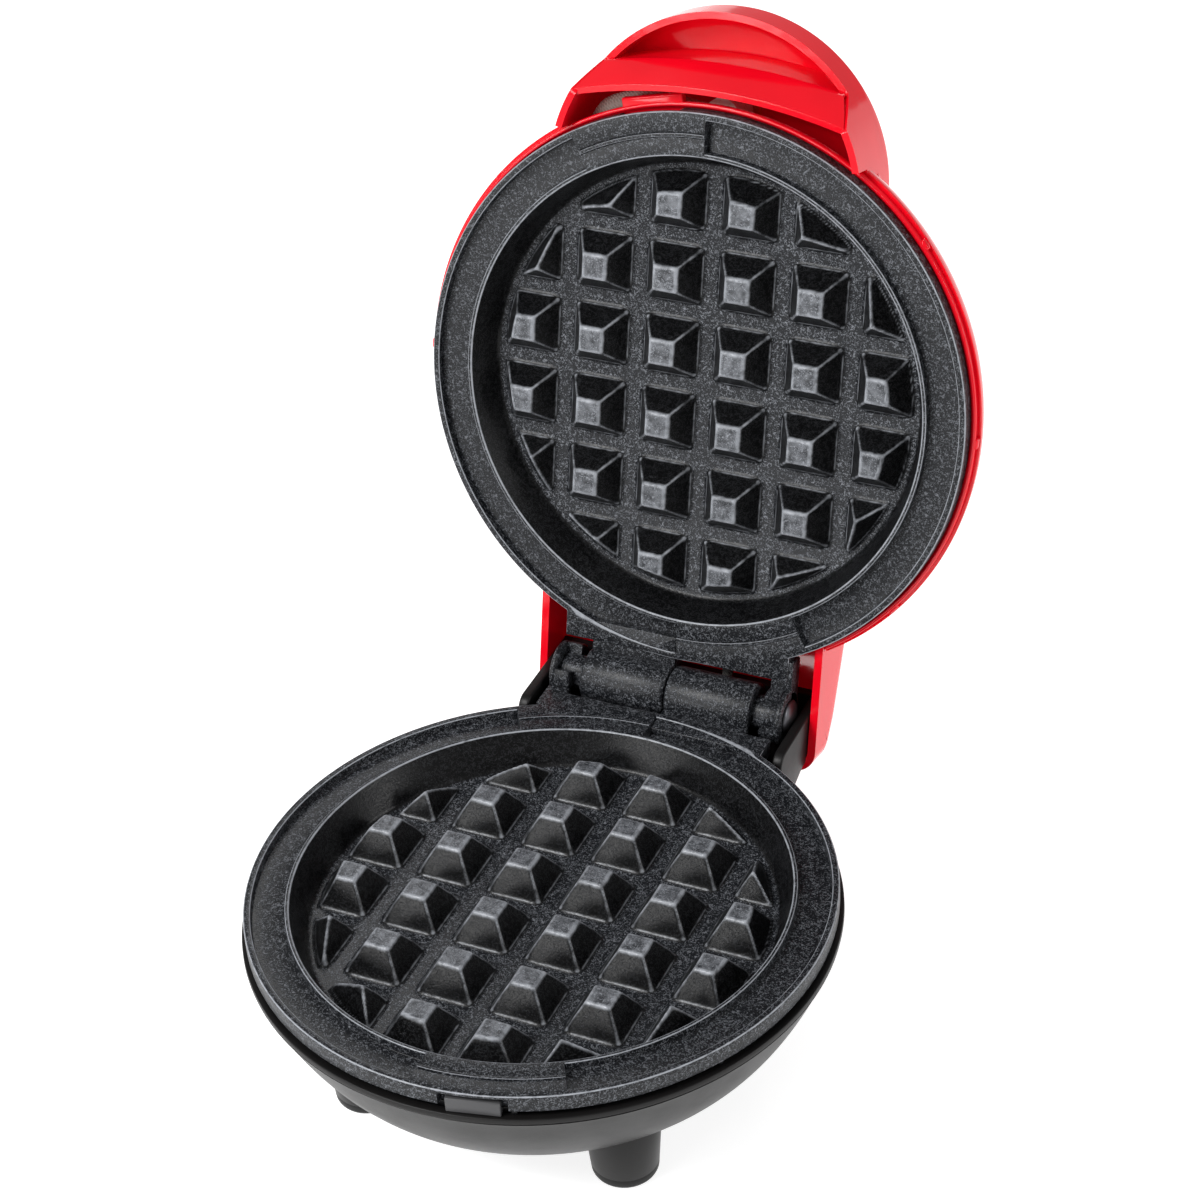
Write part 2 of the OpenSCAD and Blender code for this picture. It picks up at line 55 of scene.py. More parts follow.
PLATE_R = 62.5
CAVITY_R = 52.9
CAVITY_FLOOR_R = 50.2
CHANNEL_IN = 53.8
CHANNEL_OUT = 60.9
CHANNEL_DEPTH = 2.2
TOP = -0.15
RIM_BOTTOM = -4.15
FLOOR = -8.65
UNDER = -12.05
PITCH = 16.7
HALF_FOOT = 6.52
HALF_TOP = 2.63
PYRAMID_H = 6.6
GRID_R = 48.3
GRID_Y = 0.55
NOTCH_A = 12.5
HINGE_Y = 70.5
OPEN = math.radians(104)
BARREL_R = 6.3
STUB_R = 3.8
PIN_R = 2.0
TAB_HALF = 27
TAB_REACH = 62.3
BASE_R = 63.5
BOTTOM_R = 32.0
RIM_Z = -5.5
SIDE_Z = -6.5
BOWL_Z = -33
TABLE_Z = -44.0
PAD_H = 3
LEG_R = 7.2
LEG_TOP_R = 8.4
FRONT_LEG = (30, -29.5)
BACK_LEG = (23.5, 57)
CHEEK_IN = 29.6
CHEEK_OUT = 32
NECK_R = 11.5
INLET_TURN = 58
INLET_TILT = math.radians(40)
SCREW_AT = (35, 18)
LID_R = 64.5
LID_RIM = 4.9
LID_TOP = 30.0
HOOD_R = 35.6
HOOD_Y = -46.5
HOOD_EDGE = 17.5
HOOD_TOP = 23.3
SKIRT_R = 122.0
SKIRT_Y = -67.6
WALL = 2.2

hinge = next(j for j in frame["joints"] if j["name"] == "lid_hinge")
CENTRE = np.array(hinge["pos_m"]) - np.array([0.0, HINGE_Y * MM, 0.0])


# ---- Placing ----

def in_base(p):
    """Millimetres about the plate centre, to metres in the row frame."""
    return CENTRE + np.asarray(p, float) * MM


def in_lid(p):
    """A point of the closed lid, swung back about the hinge axis by the opening angle."""
    p = np.asarray(p, float)
    y, z = p[..., 1] - HINGE_Y, p[..., 2]
    back = HINGE_Y + y * math.cos(OPEN) + z * math.sin(OPEN)
    up = -y * math.sin(OPEN) + z * math.cos(OPEN)
    return in_base(np.stack([p[..., 0], back, up], -1))


def in_upper_plate(p):
    """The upper plate is the lower one turned half a turn about Y, then swung open."""
    return in_lid(np.asarray(p, float) * [-1, 1, -1])


# ---- Surfaces ----

class Shape:
    """Collects closed or open surfaces: points, quads, flat end faces with any number of corners,
    and one number per point for worn edges and painted edge highlights."""

    def __init__(self):
        self.points, self.faces, self.ends, self.wear, self.count = [], [], [], [], 0

    def add(self, points, faces, wear=None, ends=()):
        points = np.asarray(points, float).reshape(-1, 3)
        self.points.append(points)
        self.faces.append(np.asarray(faces) + self.count)
        self.ends += [np.asarray(e) + self.count for e in ends]
        self.wear.append(np.zeros(len(points)) if wear is None else np.ravel(wear))
        self.count += len(points)
        return self

    def grid(self, points, wrap_u=False, wrap_v=False, caps=False, flip=False, wear=None, keep=None):
        """A grid of points [u, v] as quads. caps closes both ends of v: "flat" with one face each,
        which may be hollow in outline, or else with a fan round a middle point. keep is a true or
        false value per quad. The faces look along du x dv, unless flipped."""
        n, m = points.shape[:2]
        index = np.arange(n * m).reshape(n, m)
        u = np.arange(n if wrap_u else n - 1)
        v = np.arange(m if wrap_v else m - 1)
        a, b = np.meshgrid(u, v, indexing="ij")
        c, d = (a + 1) % n, (b + 1) % m
        quads = np.stack([index[a, b], index[c, b], index[c, d], index[a, d]], -1)
        if keep is not None:
            quads = quads[keep]
        quads = quads.reshape(-1, 4)
        flat = points.reshape(-1, 3)
        ends = []
        if caps == "flat":
            ends = [index[::-1, 0], index[:, -1]]
        elif caps:
            ring0, ring1 = index[:, 0], index[:, -1]
            middles = np.array([points[:, 0].mean(0), points[:, -1].mean(0)])
            k = len(flat)
            flat = np.vstack([flat, middles])
            nxt0, nxt1 = np.roll(ring0, -1), np.roll(ring1, -1)
            first = np.stack([nxt0, ring0, np.full(n, k), np.full(n, k)], -1)
            last = np.stack([ring1, nxt1, np.full(n, k + 1), np.full(n, k + 1)], -1)
            quads = np.vstack([quads, first, last])
            if wear is not None:
                wear = np.concatenate([np.ravel(wear), [0, 0]])
        if flip:
            quads, ends = quads[:, ::-1], [e[::-1] for e in ends]
        return self.add(flat, quads, wear, ends)

    def close(self, points, **options):
        """A closed grid, turned so that its faces look outwards (its signed volume is positive)."""
        part = Shape().grid(points, **options)
        p, q = part.points[0], part.faces[0]
        a, b, c, d = (p[q[:, i]] for i in range(4))
        volume = np.einsum("ij,ij->i", a, np.cross(b, c) + np.cross(c, d)).sum()
        for e in part.ends:
            volume += (p[e[0]] @ np.cross(p[e[1:-1]], p[e[2:]]).T).sum()
        step = 1 if volume > 0 else -1
        return self.add(p, q[:, ::step], part.wear[0], [e[::step] for e in part.ends])

    def object(self, name, place, sharp=math.radians(35)):
        """The collected surfaces as one object, smooth except at edges sharper than the angle. The
        attributes are in the piece's own frame: one number for worn edges, which also paints highlights
        along edges and on pyramid tops; height; and level, which is how far a face looks up inside the
        plate's cavity and nearly level outside it, and by which the coating paints faces lighter or darker."""
        own = np.vstack(self.points)
        quads = np.vstack(self.faces)
        faces = [tuple(dict.fromkeys(f)) for f in quads.tolist()] + [e.tolist() for e in self.ends]
        mesh = bpy.data.meshes.new(name)
        mesh.from_pydata(own.tolist(), [], [f for f in faces if len(f) > 2])
        level = np.zeros(len(own) * 3, np.float32)
        mesh.vertex_normals.foreach_get("vector", level)
        # level drives painted light on the coating: faces that look up are painted lighter, slopes darker; outside
        # the cavity every face counts as nearly level
        level = np.where(np.hypot(own[:, 0], own[:, 1]) > CAVITY_R + 0.4, 0.91, level[2::3])
        for key, value in (("wear", np.concatenate(self.wear)), ("level", level),
                           ("height", own[:, 2])):
            number = mesh.attributes.new(key, "FLOAT", "POINT")
            number.data.foreach_set("value", np.asarray(value, np.float32))
        mesh.vertices.foreach_set("co", place(own).astype(np.float32).ravel())
        mesh.polygons.foreach_set("use_smooth", np.ones(len(mesh.polygons), bool))
        mesh.set_sharp_from_angle(angle=sharp)
        mesh.update()
        thing = bpy.data.objects.new(name, mesh)
        bpy.context.scene.collection.objects.link(thing)
        return thing


def rounded(corners, radii, steps=5):
    """A polyline whose inner corners are arcs: each arc starts where the corner's radius, cut to
    fit the shorter neighbour, touches both sides. The number of points doesn't depend on shape."""
    c = np.asarray(corners, float)
    radii = np.broadcast_to(radii, len(c))
    out = [c[0]]
    for i in range(1, len(c) - 1):
        a, b = c[i - 1] - c[i], c[i + 1] - c[i]
        la, lb = np.linalg.norm(a), np.linalg.norm(b)
        a, b = a / max(la, 1e-9), b / max(lb, 1e-9)
        half = math.acos(np.clip(a @ b, -1, 1)) / 2
        reach = min(radii[i] / max(math.tan(half), 1e-6), 0.49 * la, 0.49 * lb)
        p, q = c[i] + a * reach, c[i] + b * reach
        for t in np.linspace(0, 1, steps):
            out.append((1 - t) ** 2 * p + 2 * t * (1 - t) * (0.29 * (p + q) / 2 + 0.71 * c[i]) + t * t * q)
    out.append(c[-1])
    return np.array(out)


def turned(profile, angles):
    """Carries a profile of (radius, height) round the Z axis: x = r cos a, y = r sin a."""
    r, z = profile[..., 0], profile[..., 1]
    a = np.asarray(angles)[:, None]
    r, z, a = np.broadcast_arrays(r, z, a)
    return np.stack([r * np.cos(a), r * np.sin(a), z], -1)


def circle(n):
    """Even angles round a whole turn."""
    return np.arange(n) * TURN / n


def about_z(p, angle):
    """Points turned about the Z axis."""
    c, s = math.cos(angle), math.sin(angle)
    return p @ np.array([[c, s, 0], [-s, c, 0], [0, 0, 1]])


def box(x, y, z, radius=0.4, steps=4):
    """A block with rounded edges: a rounded rectangle in X and Y whose size swells along Z by
    quarter arcs at both ends. Returns a grid that wraps in u and is closed by caps."""
    t = np.linspace(0, math.pi / 2, steps)
    inset = np.concatenate([radius * (1 - np.sin(t)), radius * (1 - np.sin(t))[::-1]])
    height = np.concatenate([z[0] + radius * (1 - np.cos(t)), z[1] - radius * (1 - np.cos(t))[::-1]])
    corner = np.linspace(0, math.pi / 2, steps)
    cx = [x[1] - radius, x[0] + radius, x[0] + radius, x[1] - radius]
    cy = [y[1] - radius, y[1] - radius, y[0] + radius, y[0] + radius]
    rings = []
    for d, h in zip(inset, height):
        r = radius - d
        rings.append([[cx[k] + r * math.cos(a + k * math.pi / 2),
                       cy[k] + r * math.sin(a + k * math.pi / 2), h] for k in range(4) for a in corner])
    return np.array(rings).transpose(1, 0, 2)


def rod(x0, x1, r, edge=0.5, n=48, y=HINGE_Y, z=0.0):
    """A round bar along X with rounded ends."""
    profile = rounded([[0, x0], [r, x0], [r, x1], [0, x1]], edge, 5)[1:-1]
    p = turned(profile, circle(n))
    return np.stack([p[..., 2], p[..., 0] + y, p[..., 1] + z], -1)


def slab(outline, x0, x1, radius=0.35, steps=4):
    """An outline in Y and Z given a thickness along X, its rim rounded by moving the outline
    inwards along its own normals by a quarter arc."""
    o = np.asarray(outline, float)
    d = np.roll(o, -1, 0) - np.roll(o, 1, 0)
    n = np.stack([d[:, 1], -d[:, 0]], -1) / np.maximum(np.linalg.norm(d, axis=1), 1e-9)[:, None]
    area = np.sum(o[:, 0] * np.roll(o[:, 1], -1) - o[:, 1] * np.roll(o[:, 0], -1))
    n = n * np.sign(area)
    t = np.linspace(0, math.pi / 2, steps)
    cut = np.concatenate([radius * (1 - np.sin(t)), radius * (1 - np.sin(t))[::-1]])
    xs = np.concatenate([x0 + radius * (1 - np.cos(t)), x1 - radius * (1 - np.cos(t))[::-1]])
    return np.stack([np.stack([np.full(len(o), x), *(o - n * c).T], -1) for c, x in zip(cut, xs)], 1)


# ---- Cast waffle plate ----

def arc_share(angle):
    """1 on the two full-height arcs, 0 along the channels, by the angle from -Y towards +X."""
    a = np.degrees(angle) % 180
    return ((a > 0) & (a < 30)).astype(float)


def plate_angles():
    """Even angles, and close pairs at every place where the rim's profile steps."""
    steps = [0, 30, 180, 210, NOTCH_A - 6.45, NOTCH_A + 6.45]
    tab = [180 - 25.7, 180 - 23.43, 180 + 23.43, 180 + 25.7]
    pairs = [s + d for s in steps for d in (-0.11, 0.11)]
    return np.radians(np.unique(np.concatenate([np.arange(0.5, 360, 1.0), pairs, tab]) % 360))


def plate_casting(shape):
    """The plate without its grid: a profile of radius and height carried round Z, where the
    channel's depth, the notch and the straight-sided rear tab depend on the angle."""
    angles = plate_angles()
    lip, deep = 0.8, TOP - CHANNEL_DEPTH

    def profile(channel, notch):
        out = PLATE_R - 1.5 * notch
        bed = deep if channel else TOP
        rib = 0.0 if channel else 1.0
        corners = [
            [0, FLOOR], [CAVITY_FLOOR_R, FLOOR], [CAVITY_R, TOP],
            [CHANNEL_IN, TOP], [CHANNEL_IN + 0.05, bed], [56.9, bed], [57.05, bed - 0.35 * rib],
            [57.15, bed + 0.35 * rib], [57.85, bed + 0.35 * rib], [57.95, bed - 0.35 * rib], [58.1, bed],
            [CHANNEL_OUT, bed], [CHANNEL_OUT + 0.05, TOP],
            [PLATE_R, TOP], [PLATE_R, TOP - lip], [out, TOP - lip - 0.02], [out, RIM_BOTTOM],
            [54.5, RIM_BOTTOM], [52.5, UNDER], [0, UNDER]]
        radii = [0, 1.6, 0.55, 0.3, 0.25, 0.1, 0.1, 0.12, 0.12, 0.1, 0.1, 0.25, 0.3,
                 0.45, 0.1, 0.1, 0.3, 0.5, 0.6, 0]
        return rounded(corners, radii, 4)[1:-1]

    def wear_of(channel):
        """1 in the middle of a worn corner's arc, by the corners' order in the profile. The same number
        paints these edges pale, partly as rubbed coating and partly as painted highlight.
        """
        worn = np.zeros(18)
        worn[[1, 12]] = 1.0
        worn[[2, 11]] = float(channel)
        worn[[6, 7]] = 1.0 - channel
        return np.outer(worn, [0, 1, 1, 0]).ravel()

    grids = {(c, n): profile(c, n) for c in (0, 1) for n in (0, 1)}
    wears = {k: wear_of(k[0]) for k in grids}
    on_arc = arc_share(angles)
    in_notch = np.abs(np.degrees(angles) - NOTCH_A) < 6.45
    keys = [(int(not a), int(n)) for a, n in zip(on_arc, in_notch)]
    p = np.stack([grids[k] for k in keys])
    wear = np.stack([wears[k] for k in keys])
    # the rear tab: the rim reaches out to a rectangle
    turn = np.abs(angles - math.pi)
    reach = np.minimum(TAB_HALF / np.maximum(np.sin(turn), 1e-6),
                       TAB_REACH / np.maximum(np.cos(turn), 1e-6))
    extra = np.where(turn < math.radians(25.7), np.maximum(reach - PLATE_R, 0), 0)[:, None]
    grow = np.clip((p[..., 0] - 61.0) / 1.0, 0, 1) * (p[..., 1] > RIM_BOTTOM - 1)
    wear = wear * np.where((extra > 0.3) & (p[..., 0] > 61.9), 0.4, 1)
    r = p[..., 0] + extra * grow
    a = angles[:, None]
    points = np.stack([r * np.sin(a), -r * np.cos(a), p[..., 1]], -1)
    shape.close(points, wrap_u=True, caps=True, wear=wear)


def smooth_min(a, b, k):
    """The lower of two heights, rounded where they cross within k."""
    h = np.clip(0.5 + 0.5 * (b - a) / k, 0, 1)
    return b + (a - b) * h - k * h * (1 - h)


def pyramid(shape, cx, cy):
    """One pyramid as a height over its square cell. The height is the least of the distances to
    the four foot lines and to the grid's round edge, each times the slope, blended at the hips,
    capped at the flat top and faired into the floor."""
    slope = PYRAMID_H / (HALF_FOOT - HALF_TOP)
    half = HALF_FOOT + 0.95
    t = np.linspace(-1, 1, 41)
    t = np.sign(t) * np.abs(t) ** 0.95 * half
    x, y = np.meshgrid(cx + t, cy + t, indexing="ij")
    from_side = lambda u: HALF_FOOT - np.abs(u)
    a, b = from_side(x - cx), from_side(y - cy)
    edge = GRID_R - np.hypot(x, y)
    hip = 0.3 + 2.6 * np.exp(-np.maximum(np.minimum(a, b), 0) / 0.8)
    near = smooth_min(a, b, hip)
    trimmed = math.hypot(abs(cx) + HALF_TOP, abs(cy) + HALF_TOP) > GRID_R - (HALF_FOOT - HALF_TOP)
    if trimmed:
        near = smooth_min(near, edge, 0.45)
    height = smooth_min(near * slope, np.full_like(near, PYRAMID_H), 0.5)
    # the foot: a smooth maximum with the floor
    k = 1.1
    lift = -smooth_min(-height, np.zeros_like(height), k)
    ring = np.maximum(np.abs(x - cx), np.abs(y - cy)) > half - 0.02
    z = FLOOR + lift - 0.012
    z = np.where(ring, FLOOR - 0.2, z)
    # the pale mask from here on covers the hips, the brink, the flat top, a lone tip and a band at the foot:
    # partly rubbed coating, partly painted highlight, the flat top most of all
    first_x, first_y = np.gradient(near)
    bend = -(np.gradient(first_x)[0] + np.gradient(first_y)[1]) / (t[21] - t[20])
    hips = np.clip(bend * 1.3, 0, 1) * (height > 0.6)
    brink = np.exp(-((near * slope - PYRAMID_H) / 0.8) ** 2)
    hips = hips * (near * slope < PYRAMID_H - 0.4)
    tops = (height > PYRAMID_H - 0.3) * 0.54
    foot = 0.75 * np.exp(-((near * slope - 0.3) / 0.35) ** 2)
    tip = 0.9 * (height > height.max() - 0.35) * (height.max() < PYRAMID_H - 0.3)
    wear = np.clip(np.max([0.95 * hips, brink, tops, tip, foot], 0), 0, 1)
    top = np.stack([x, y, z], -1)
    low = top.copy()
    low[..., 2] = FLOOR - 1.0
    n = len(t)
    # one closed skin: the height sheet, then the flat underside, joined round the edge
    index = np.arange(n * n).reshape(n, n)
    q = np.stack([index[:-1, :-1], index[1:, :-1], index[1:, 1:], index[:-1, 1:]], -1).reshape(-1, 4)
    rim = np.concatenate([index[:-1, 0], index[-1, :-1], index[:0:-1, -1], index[0, :0:-1]])
    under = np.array([[cx, cy, FLOOR - 1.0]])
    base = low.reshape(-1, 3)[rim]
    k0 = n * n
    ring_id = k0 + np.arange(len(rim))
    nxt = np.roll(np.arange(len(rim)), -1)
    sides = np.stack([ring_id, ring_id[nxt], rim[nxt], rim], -1)
    floor = np.stack([ring_id[nxt], ring_id, np.full(len(rim), k0 + len(rim)),
                      np.full(len(rim), k0 + len(rim))], -1)
    points = np.vstack([top.reshape(-1, 3), base, under])
    extra = np.zeros(len(rim) + 1)
    shape.add(points, np.vstack([q, sides, floor]), np.concatenate([wear.ravel(), extra]))


def waffle_plate():
    """One cast plate in its own place: casting, grid and hinge knuckles."""
    shape = Shape()
    plate_casting(shape)
    middle = (np.arange(6) - 2.5) * PITCH
    for cx in middle:
        for cy in middle:
            if math.hypot(cx, cy) < 55:
                pyramid(shape, cx, cy + GRID_Y)
    # barrel, stub, hook and the webs that carry them
    shape.close(rod(0.15, 20.5, BARREL_R, 0.7), wrap_u=True, caps=True)
    shape.close(rod(20.3, 26.4, STUB_R, 0.3), wrap_u=True, caps=True)
    shape.close(box((0.15, 20.5), (57.5, 70.5), (-5.15, -0.6), 0.3), wrap_u=True, caps=True)
    shape.close(box((-28, -23), (57.5, 70.5), (-5.15, -0.6), 0.3), wrap_u=True, caps=True)
    shape.close(rod(-28, -26.7, BARREL_R, 0.45), wrap_u=True, caps=True)
    section = rounded([[5.0, -26.9], [BARREL_R, -26.9], [BARREL_R, -23], [3.85, -23], [3.85, -26.9],
                       [5.0, -26.9]], 0.35, 4)[:-1]
    sweep = np.radians(np.linspace(111, 393, 60))[:, None]
    r, x = section[:, 0], section[:, 1]
    hook = np.stack([x + 0 * sweep, HINGE_Y - r * np.cos(sweep), r * np.sin(sweep)], -1)
    shape.close(hook.transpose(1, 0, 2), wrap_u=True, caps=True)
    return shape


# ---- Base ----

def bowl_side(inset, a=np.linspace(90, 12, 60)):
    """The bowl's side, as radius and height. With a from 0 degrees at the rim band to 90 at the flat
    bottom, the radius grows from BOTTOM_R to BASE_R with cos(a) to the power 0.6, and the height
    falls from SIDE_Z to BOWL_Z with sin(a) to the power 2.2."""
    a = np.radians(a)
    return np.stack([BOTTOM_R - inset + (BASE_R - BOTTOM_R) * np.cos(a).clip(0) ** 0.6,
                     SIDE_Z + (BOWL_Z + inset - SIDE_Z) * np.sin(a) ** 2.2], -1)


def bowl(shape):
    """The bowl: its side turned about Z, with a fine bead under the rim band, and the same again
    inside by one wall."""
    rim = rounded([[61.2, -7], [61.3, RIM_Z], [63.35, RIM_Z], [63.4, -6.7], [63.1, -6.8], [63.1, -6.95],
                   [63.3, -7.1]], [0, 0.2, 0.22, 0.08, 0.06, 0.06, 0], 4)
    profile = np.vstack([[[0.6, BOWL_Z + WALL]], bowl_side(WALL), rim, bowl_side(0)[::-1], [[0.6, BOWL_Z]]])
    shape.close(turned(profile, circle(256)), wrap_u=True, caps=True)


def on_inlet(p):
    """Points drawn about Z, placed on the cord bush: Z runs inwards, INLET_TILT up from level."""
    inwards = np.array([0, -math.cos(INLET_TILT), math.sin(INLET_TILT)])
    across = np.array([0, math.sin(INLET_TILT), math.cos(INLET_TILT)])
    place = [0, *bowl_side(0, INLET_TURN)]
    return place + p[..., :1] * [1, 0, 0] + p[..., 1:2] * across + p[..., 2:] * inwards


def inlet_boss(shape):
    """A short moulded tube round the cord bush, square to the bush."""
    wide = np.array([[5.15, 0.4], [7.6, 0.4], [8.4, 4.0], [5.15, 4.0], [5.15, 0.4]])
    ring = on_inlet(turned(rounded(wide, 0.3, 4), circle(64)))
    shape.close(ring[:, :-1].transpose(1, 0, 2), wrap_u=True, wrap_v=True)


def neck(shape):
    """Two cheeks and the floor between them, which reaches lower at both sides, where the bowl
    curves away: outlines in Y and Z with a thickness in X. The back is an arc of radius NECK_R
    about the hinge axis."""
    about_hinge = lambda r, turns: [[HINGE_Y + r * math.cos(a), r * math.sin(a)] for a in np.radians(turns)]
    arc = about_hinge(NECK_R, np.arange(0, -101, -5))
    shoulder = rounded([[55.5, -5.5], [56, 0], [82, 0]], 4.5, 8)[1:-1].tolist()
    front = [[55.6, -5.5], *shoulder, [HINGE_Y + NECK_R - 0.1, 0]]
    cheek = np.array(front + arc + [[62.5, -13.4], [49, -27], [39.8, -27.3], [46.4, -19], [52.3, -9]])
    for x0, x1 in ((CHEEK_IN, CHEEK_OUT), (-CHEEK_OUT, -CHEEK_IN)):
        shape.close(slab(cheek, x0, x1, 0.45), wrap_u=True, caps="flat")
    inner = about_hinge(NECK_R - WALL, np.arange(-100, 1, 5))
    low = [[55, -20.9], [53.5, -19.4]]
    side_low = [[49, -27], [40.5, -27.7], [41.5, -25.5], [48, -24.8]]
    side = CHEEK_IN + 0.1
    for x0, x1, end in ((-14.1, 14.1, low), (14, side, side_low), (-side, -14, side_low)):
        floor = np.array(arc + [[62.5, -13.4]] + end + [[61.6, -11.3]] + inner)
        shape.close(slab(floor, x0, x1, 0.05), wrap_u=True, caps="flat")


def legs(shape):
    """Four turned legs that taper towards their pads."""
    for x in (-1, 1):
        for (lx, ly), z in ((FRONT_LEG, -26.5), (BACK_LEG, -12.5)):
            outline = [[0, TABLE_Z + PAD_H], [LEG_R, TABLE_Z + PAD_H], [LEG_TOP_R, z], [0, z]]
            p = turned(rounded(outline, [0, 0.08, 0.3, 0], 4)[1:-1], circle(64))
            shape.close(p + [x * lx, ly, 0], wrap_u=True, caps=True)


def foot_pads():
    """Pads with a rounded edge, turned about Z."""
    shape = Shape()
    top = TABLE_Z + PAD_H + 0.05
    for x in (-1, 1):
        for lx, ly in (FRONT_LEG, BACK_LEG):
            outline = [[0, TABLE_Z], [LEG_R - 0.25, TABLE_Z], [LEG_R, top], [0, top]]
            p = turned(rounded(outline, [0, 2.2, 0.08, 0], 7)[1:-1], circle(64))
            shape.close(p + [x * lx, ly, 0], wrap_u=True, caps=True)
    return shape


def base_ring():
    """A flat ring with rounded edges, open at the back, with small snap lugs on it."""
    shape = Shape()
    profile = rounded([[59, -8], [60.9, -8], [60.9, -4.35], [57, -4.35], [57, -8], [59, -8]], 0.3, 4)[:-1]
    p = turned(profile, np.radians(np.linspace(90 + 31, 450 - 31, 220)))
    shape.close(p.transpose(1, 0, 2), wrap_u=True, caps=True)
    for a in np.radians(np.arange(-190, 51, 40)):
        lug = box((60.2, 61.9), (-0.6, 0.6), (RIM_Z + 0.05, RIM_Z + 0.95), 0.2, 3)
        shape.close(about_z(lug, a), wrap_u=True, caps=True)
    return shape


def base_tab():
    """The locating tab in the plate's notch: a rounded block turned to the notch's angle."""
    block = box((-5.6, 5.6), (-62.45, -61.1), (RIM_Z + 0.05, -1.95), 0.25)
    foot = box((-5.6, 5.6), (-62.3, -59.5), (RIM_Z + 0.05, -4.4), 0.2)
    shape = Shape()
    for p in (block, foot):
        shape.close(about_z(p, math.radians(NOTCH_A)), wrap_u=True, caps=True)
    return shape


# ---- Lid, drawn closed ----

def dome_height(r):
    """The dome's height at a radius: a quarter ellipse from the rim to the crown."""
    return LID_RIM + (LID_TOP - LID_RIM) * np.sqrt(np.clip(1 - (r / LID_R) ** 2, 0, 1))


def hood_height(r):
    """The hood's height at a distance from its own axis: level in the middle, falling faster
    towards its edge, where it becomes the upright wall."""
    return HOOD_EDGE + (HOOD_TOP - HOOD_EDGE) * np.sqrt(np.clip(1 - (r / HOOD_R) ** 1.75, 0, 1))


TONGUE_Z = 9.5
TONGUE_A = math.radians(51.3)
CORNER_A = math.radians(61.1)
SIDE_A = math.radians(76.4)
BOX_X = 34.1
BOX_Y = 84.0
BOX_Z = 2.2
BOX_EDGE = 5.0


def hood_low(turn):
    """How far down the hood's wall reaches, by the angle from its front: the tongue in front, then a
    slanted end, then down to the plate's level beside the skirt, then just into the dome."""
    turn = np.abs((turn + math.pi) % TURN - math.pi)
    slant = TONGUE_Z * np.clip((CORNER_A - turn) / (CORNER_A - TONGUE_A), 0, 1)
    x, y = HOOD_R * np.sin(turn), HOOD_Y - HOOD_R * np.cos(turn)
    on_dome = dome_height(np.hypot(x, y)) - 1.6
    return np.where(turn < SIDE_A, slant, np.maximum(on_dome, LID_RIM))


def box_roof():
    """The outline of the hinge cover in Y and Z: a roof that falls backwards, then an upright back."""
    corners = [[38, 23.4], [57, 21.2], [75, 16.8], [BOX_Y, 12.6], [BOX_Y, BOX_Z]]
    return rounded(corners, [0, 30, 14, 5.5, 0], 9)


def roof_height(y):
    line = box_roof()
    order = np.argsort(line[:-1, 0])
    return np.interp(y, line[:-1, 0][order], line[:-1, 1][order], right=-9)


def middle_of(p):
    return (p[:-1, :-1] + p[1:, :-1] + p[1:, 1:] + p[:-1, 1:]) / 4


def dome(shape):
    """The dome: a quarter ellipse turned about Z, left out where the hood and the hinge cover stand
    above it."""
    t = np.linspace(0.004, 1, 110) * math.pi / 2
    profile = np.stack([LID_R * np.sin(t), LID_RIM + (LID_TOP - LID_RIM) * np.cos(t)], -1)
    a = np.append(circle(420), TURN)
    p = turned(profile, a)
    m = middle_of(p)
    x, y, z = m[..., 0], m[..., 1], m[..., 2]
    from_hood = np.hypot(x, y - HOOD_Y)
    under_hood = (from_hood < HOOD_R - 1.1) & (z < hood_height(from_hood) - 1.0)
    under_box = (np.abs(x) < BOX_X - 1.2) & (y > 40) & (z < roof_height(y) - 1.0)
    shape.grid(p[:-1], wrap_u=True, keep=~(under_hood | under_box), flip=True)
    crown = p[:-1, 0].mean(0) + [0, 0, 0.002]
    n = len(p) - 1
    ring = p[:-1, 0]
    index = np.arange(n)
    fan = np.stack([index, np.roll(index, -1), np.full(n, n), np.full(n, n)], -1)
    shape.add(np.vstack([ring, crown]), fan)


def hood(shape):
    """The handle hood: a level top that rolls over into an upright wall, turned about its own axis;
    the wall's lower end follows hood_low. Left out where the dome stands above it."""
    marks = [TONGUE_A, CORNER_A, SIDE_A]
    near = [s * (m + d) for m in marks for s in (-1, 1) for d in (-0.004, 0.004)]
    a = np.unique(np.concatenate([np.radians(np.arange(0.5, 360, 1.5)), np.array(near) % TURN]))
    top_r = HOOD_R * np.sin(np.linspace(0.02, math.pi / 2, 44))
    down = np.linspace(0, 1, 16)[1:]
    low = hood_low(a)[:, None]
    r = np.concatenate([top_r, np.full(15, HOOD_R)])
    z_top = np.broadcast_to(hood_height(top_r), (len(a), 44))
    z = np.concatenate([z_top, HOOD_EDGE + (low - HOOD_EDGE) * down], 1)
    p = np.stack([r * np.sin(a)[:, None], HOOD_Y - r * np.cos(a)[:, None], z], -1)
    m = middle_of(np.concatenate([p, p[:1]]))
    under = dome_height(np.hypot(m[..., 0], m[..., 1])) > m[..., 2] + 1.3
    under &= np.hypot(m[..., 0], m[..., 1]) < LID_R - 1
    shape.grid(p, wrap_u=True, keep=~under, flip=True)
    n = len(a)
    centre = [[0, HOOD_Y, hood_height(0.0)]]
    index = np.arange(n)
    fan = np.stack([np.roll(index, -1), index, np.full(n, n), np.full(n, n)], -1)[:, ::-1]
    shape.add(np.vstack([p[:, 0], centre]), fan)


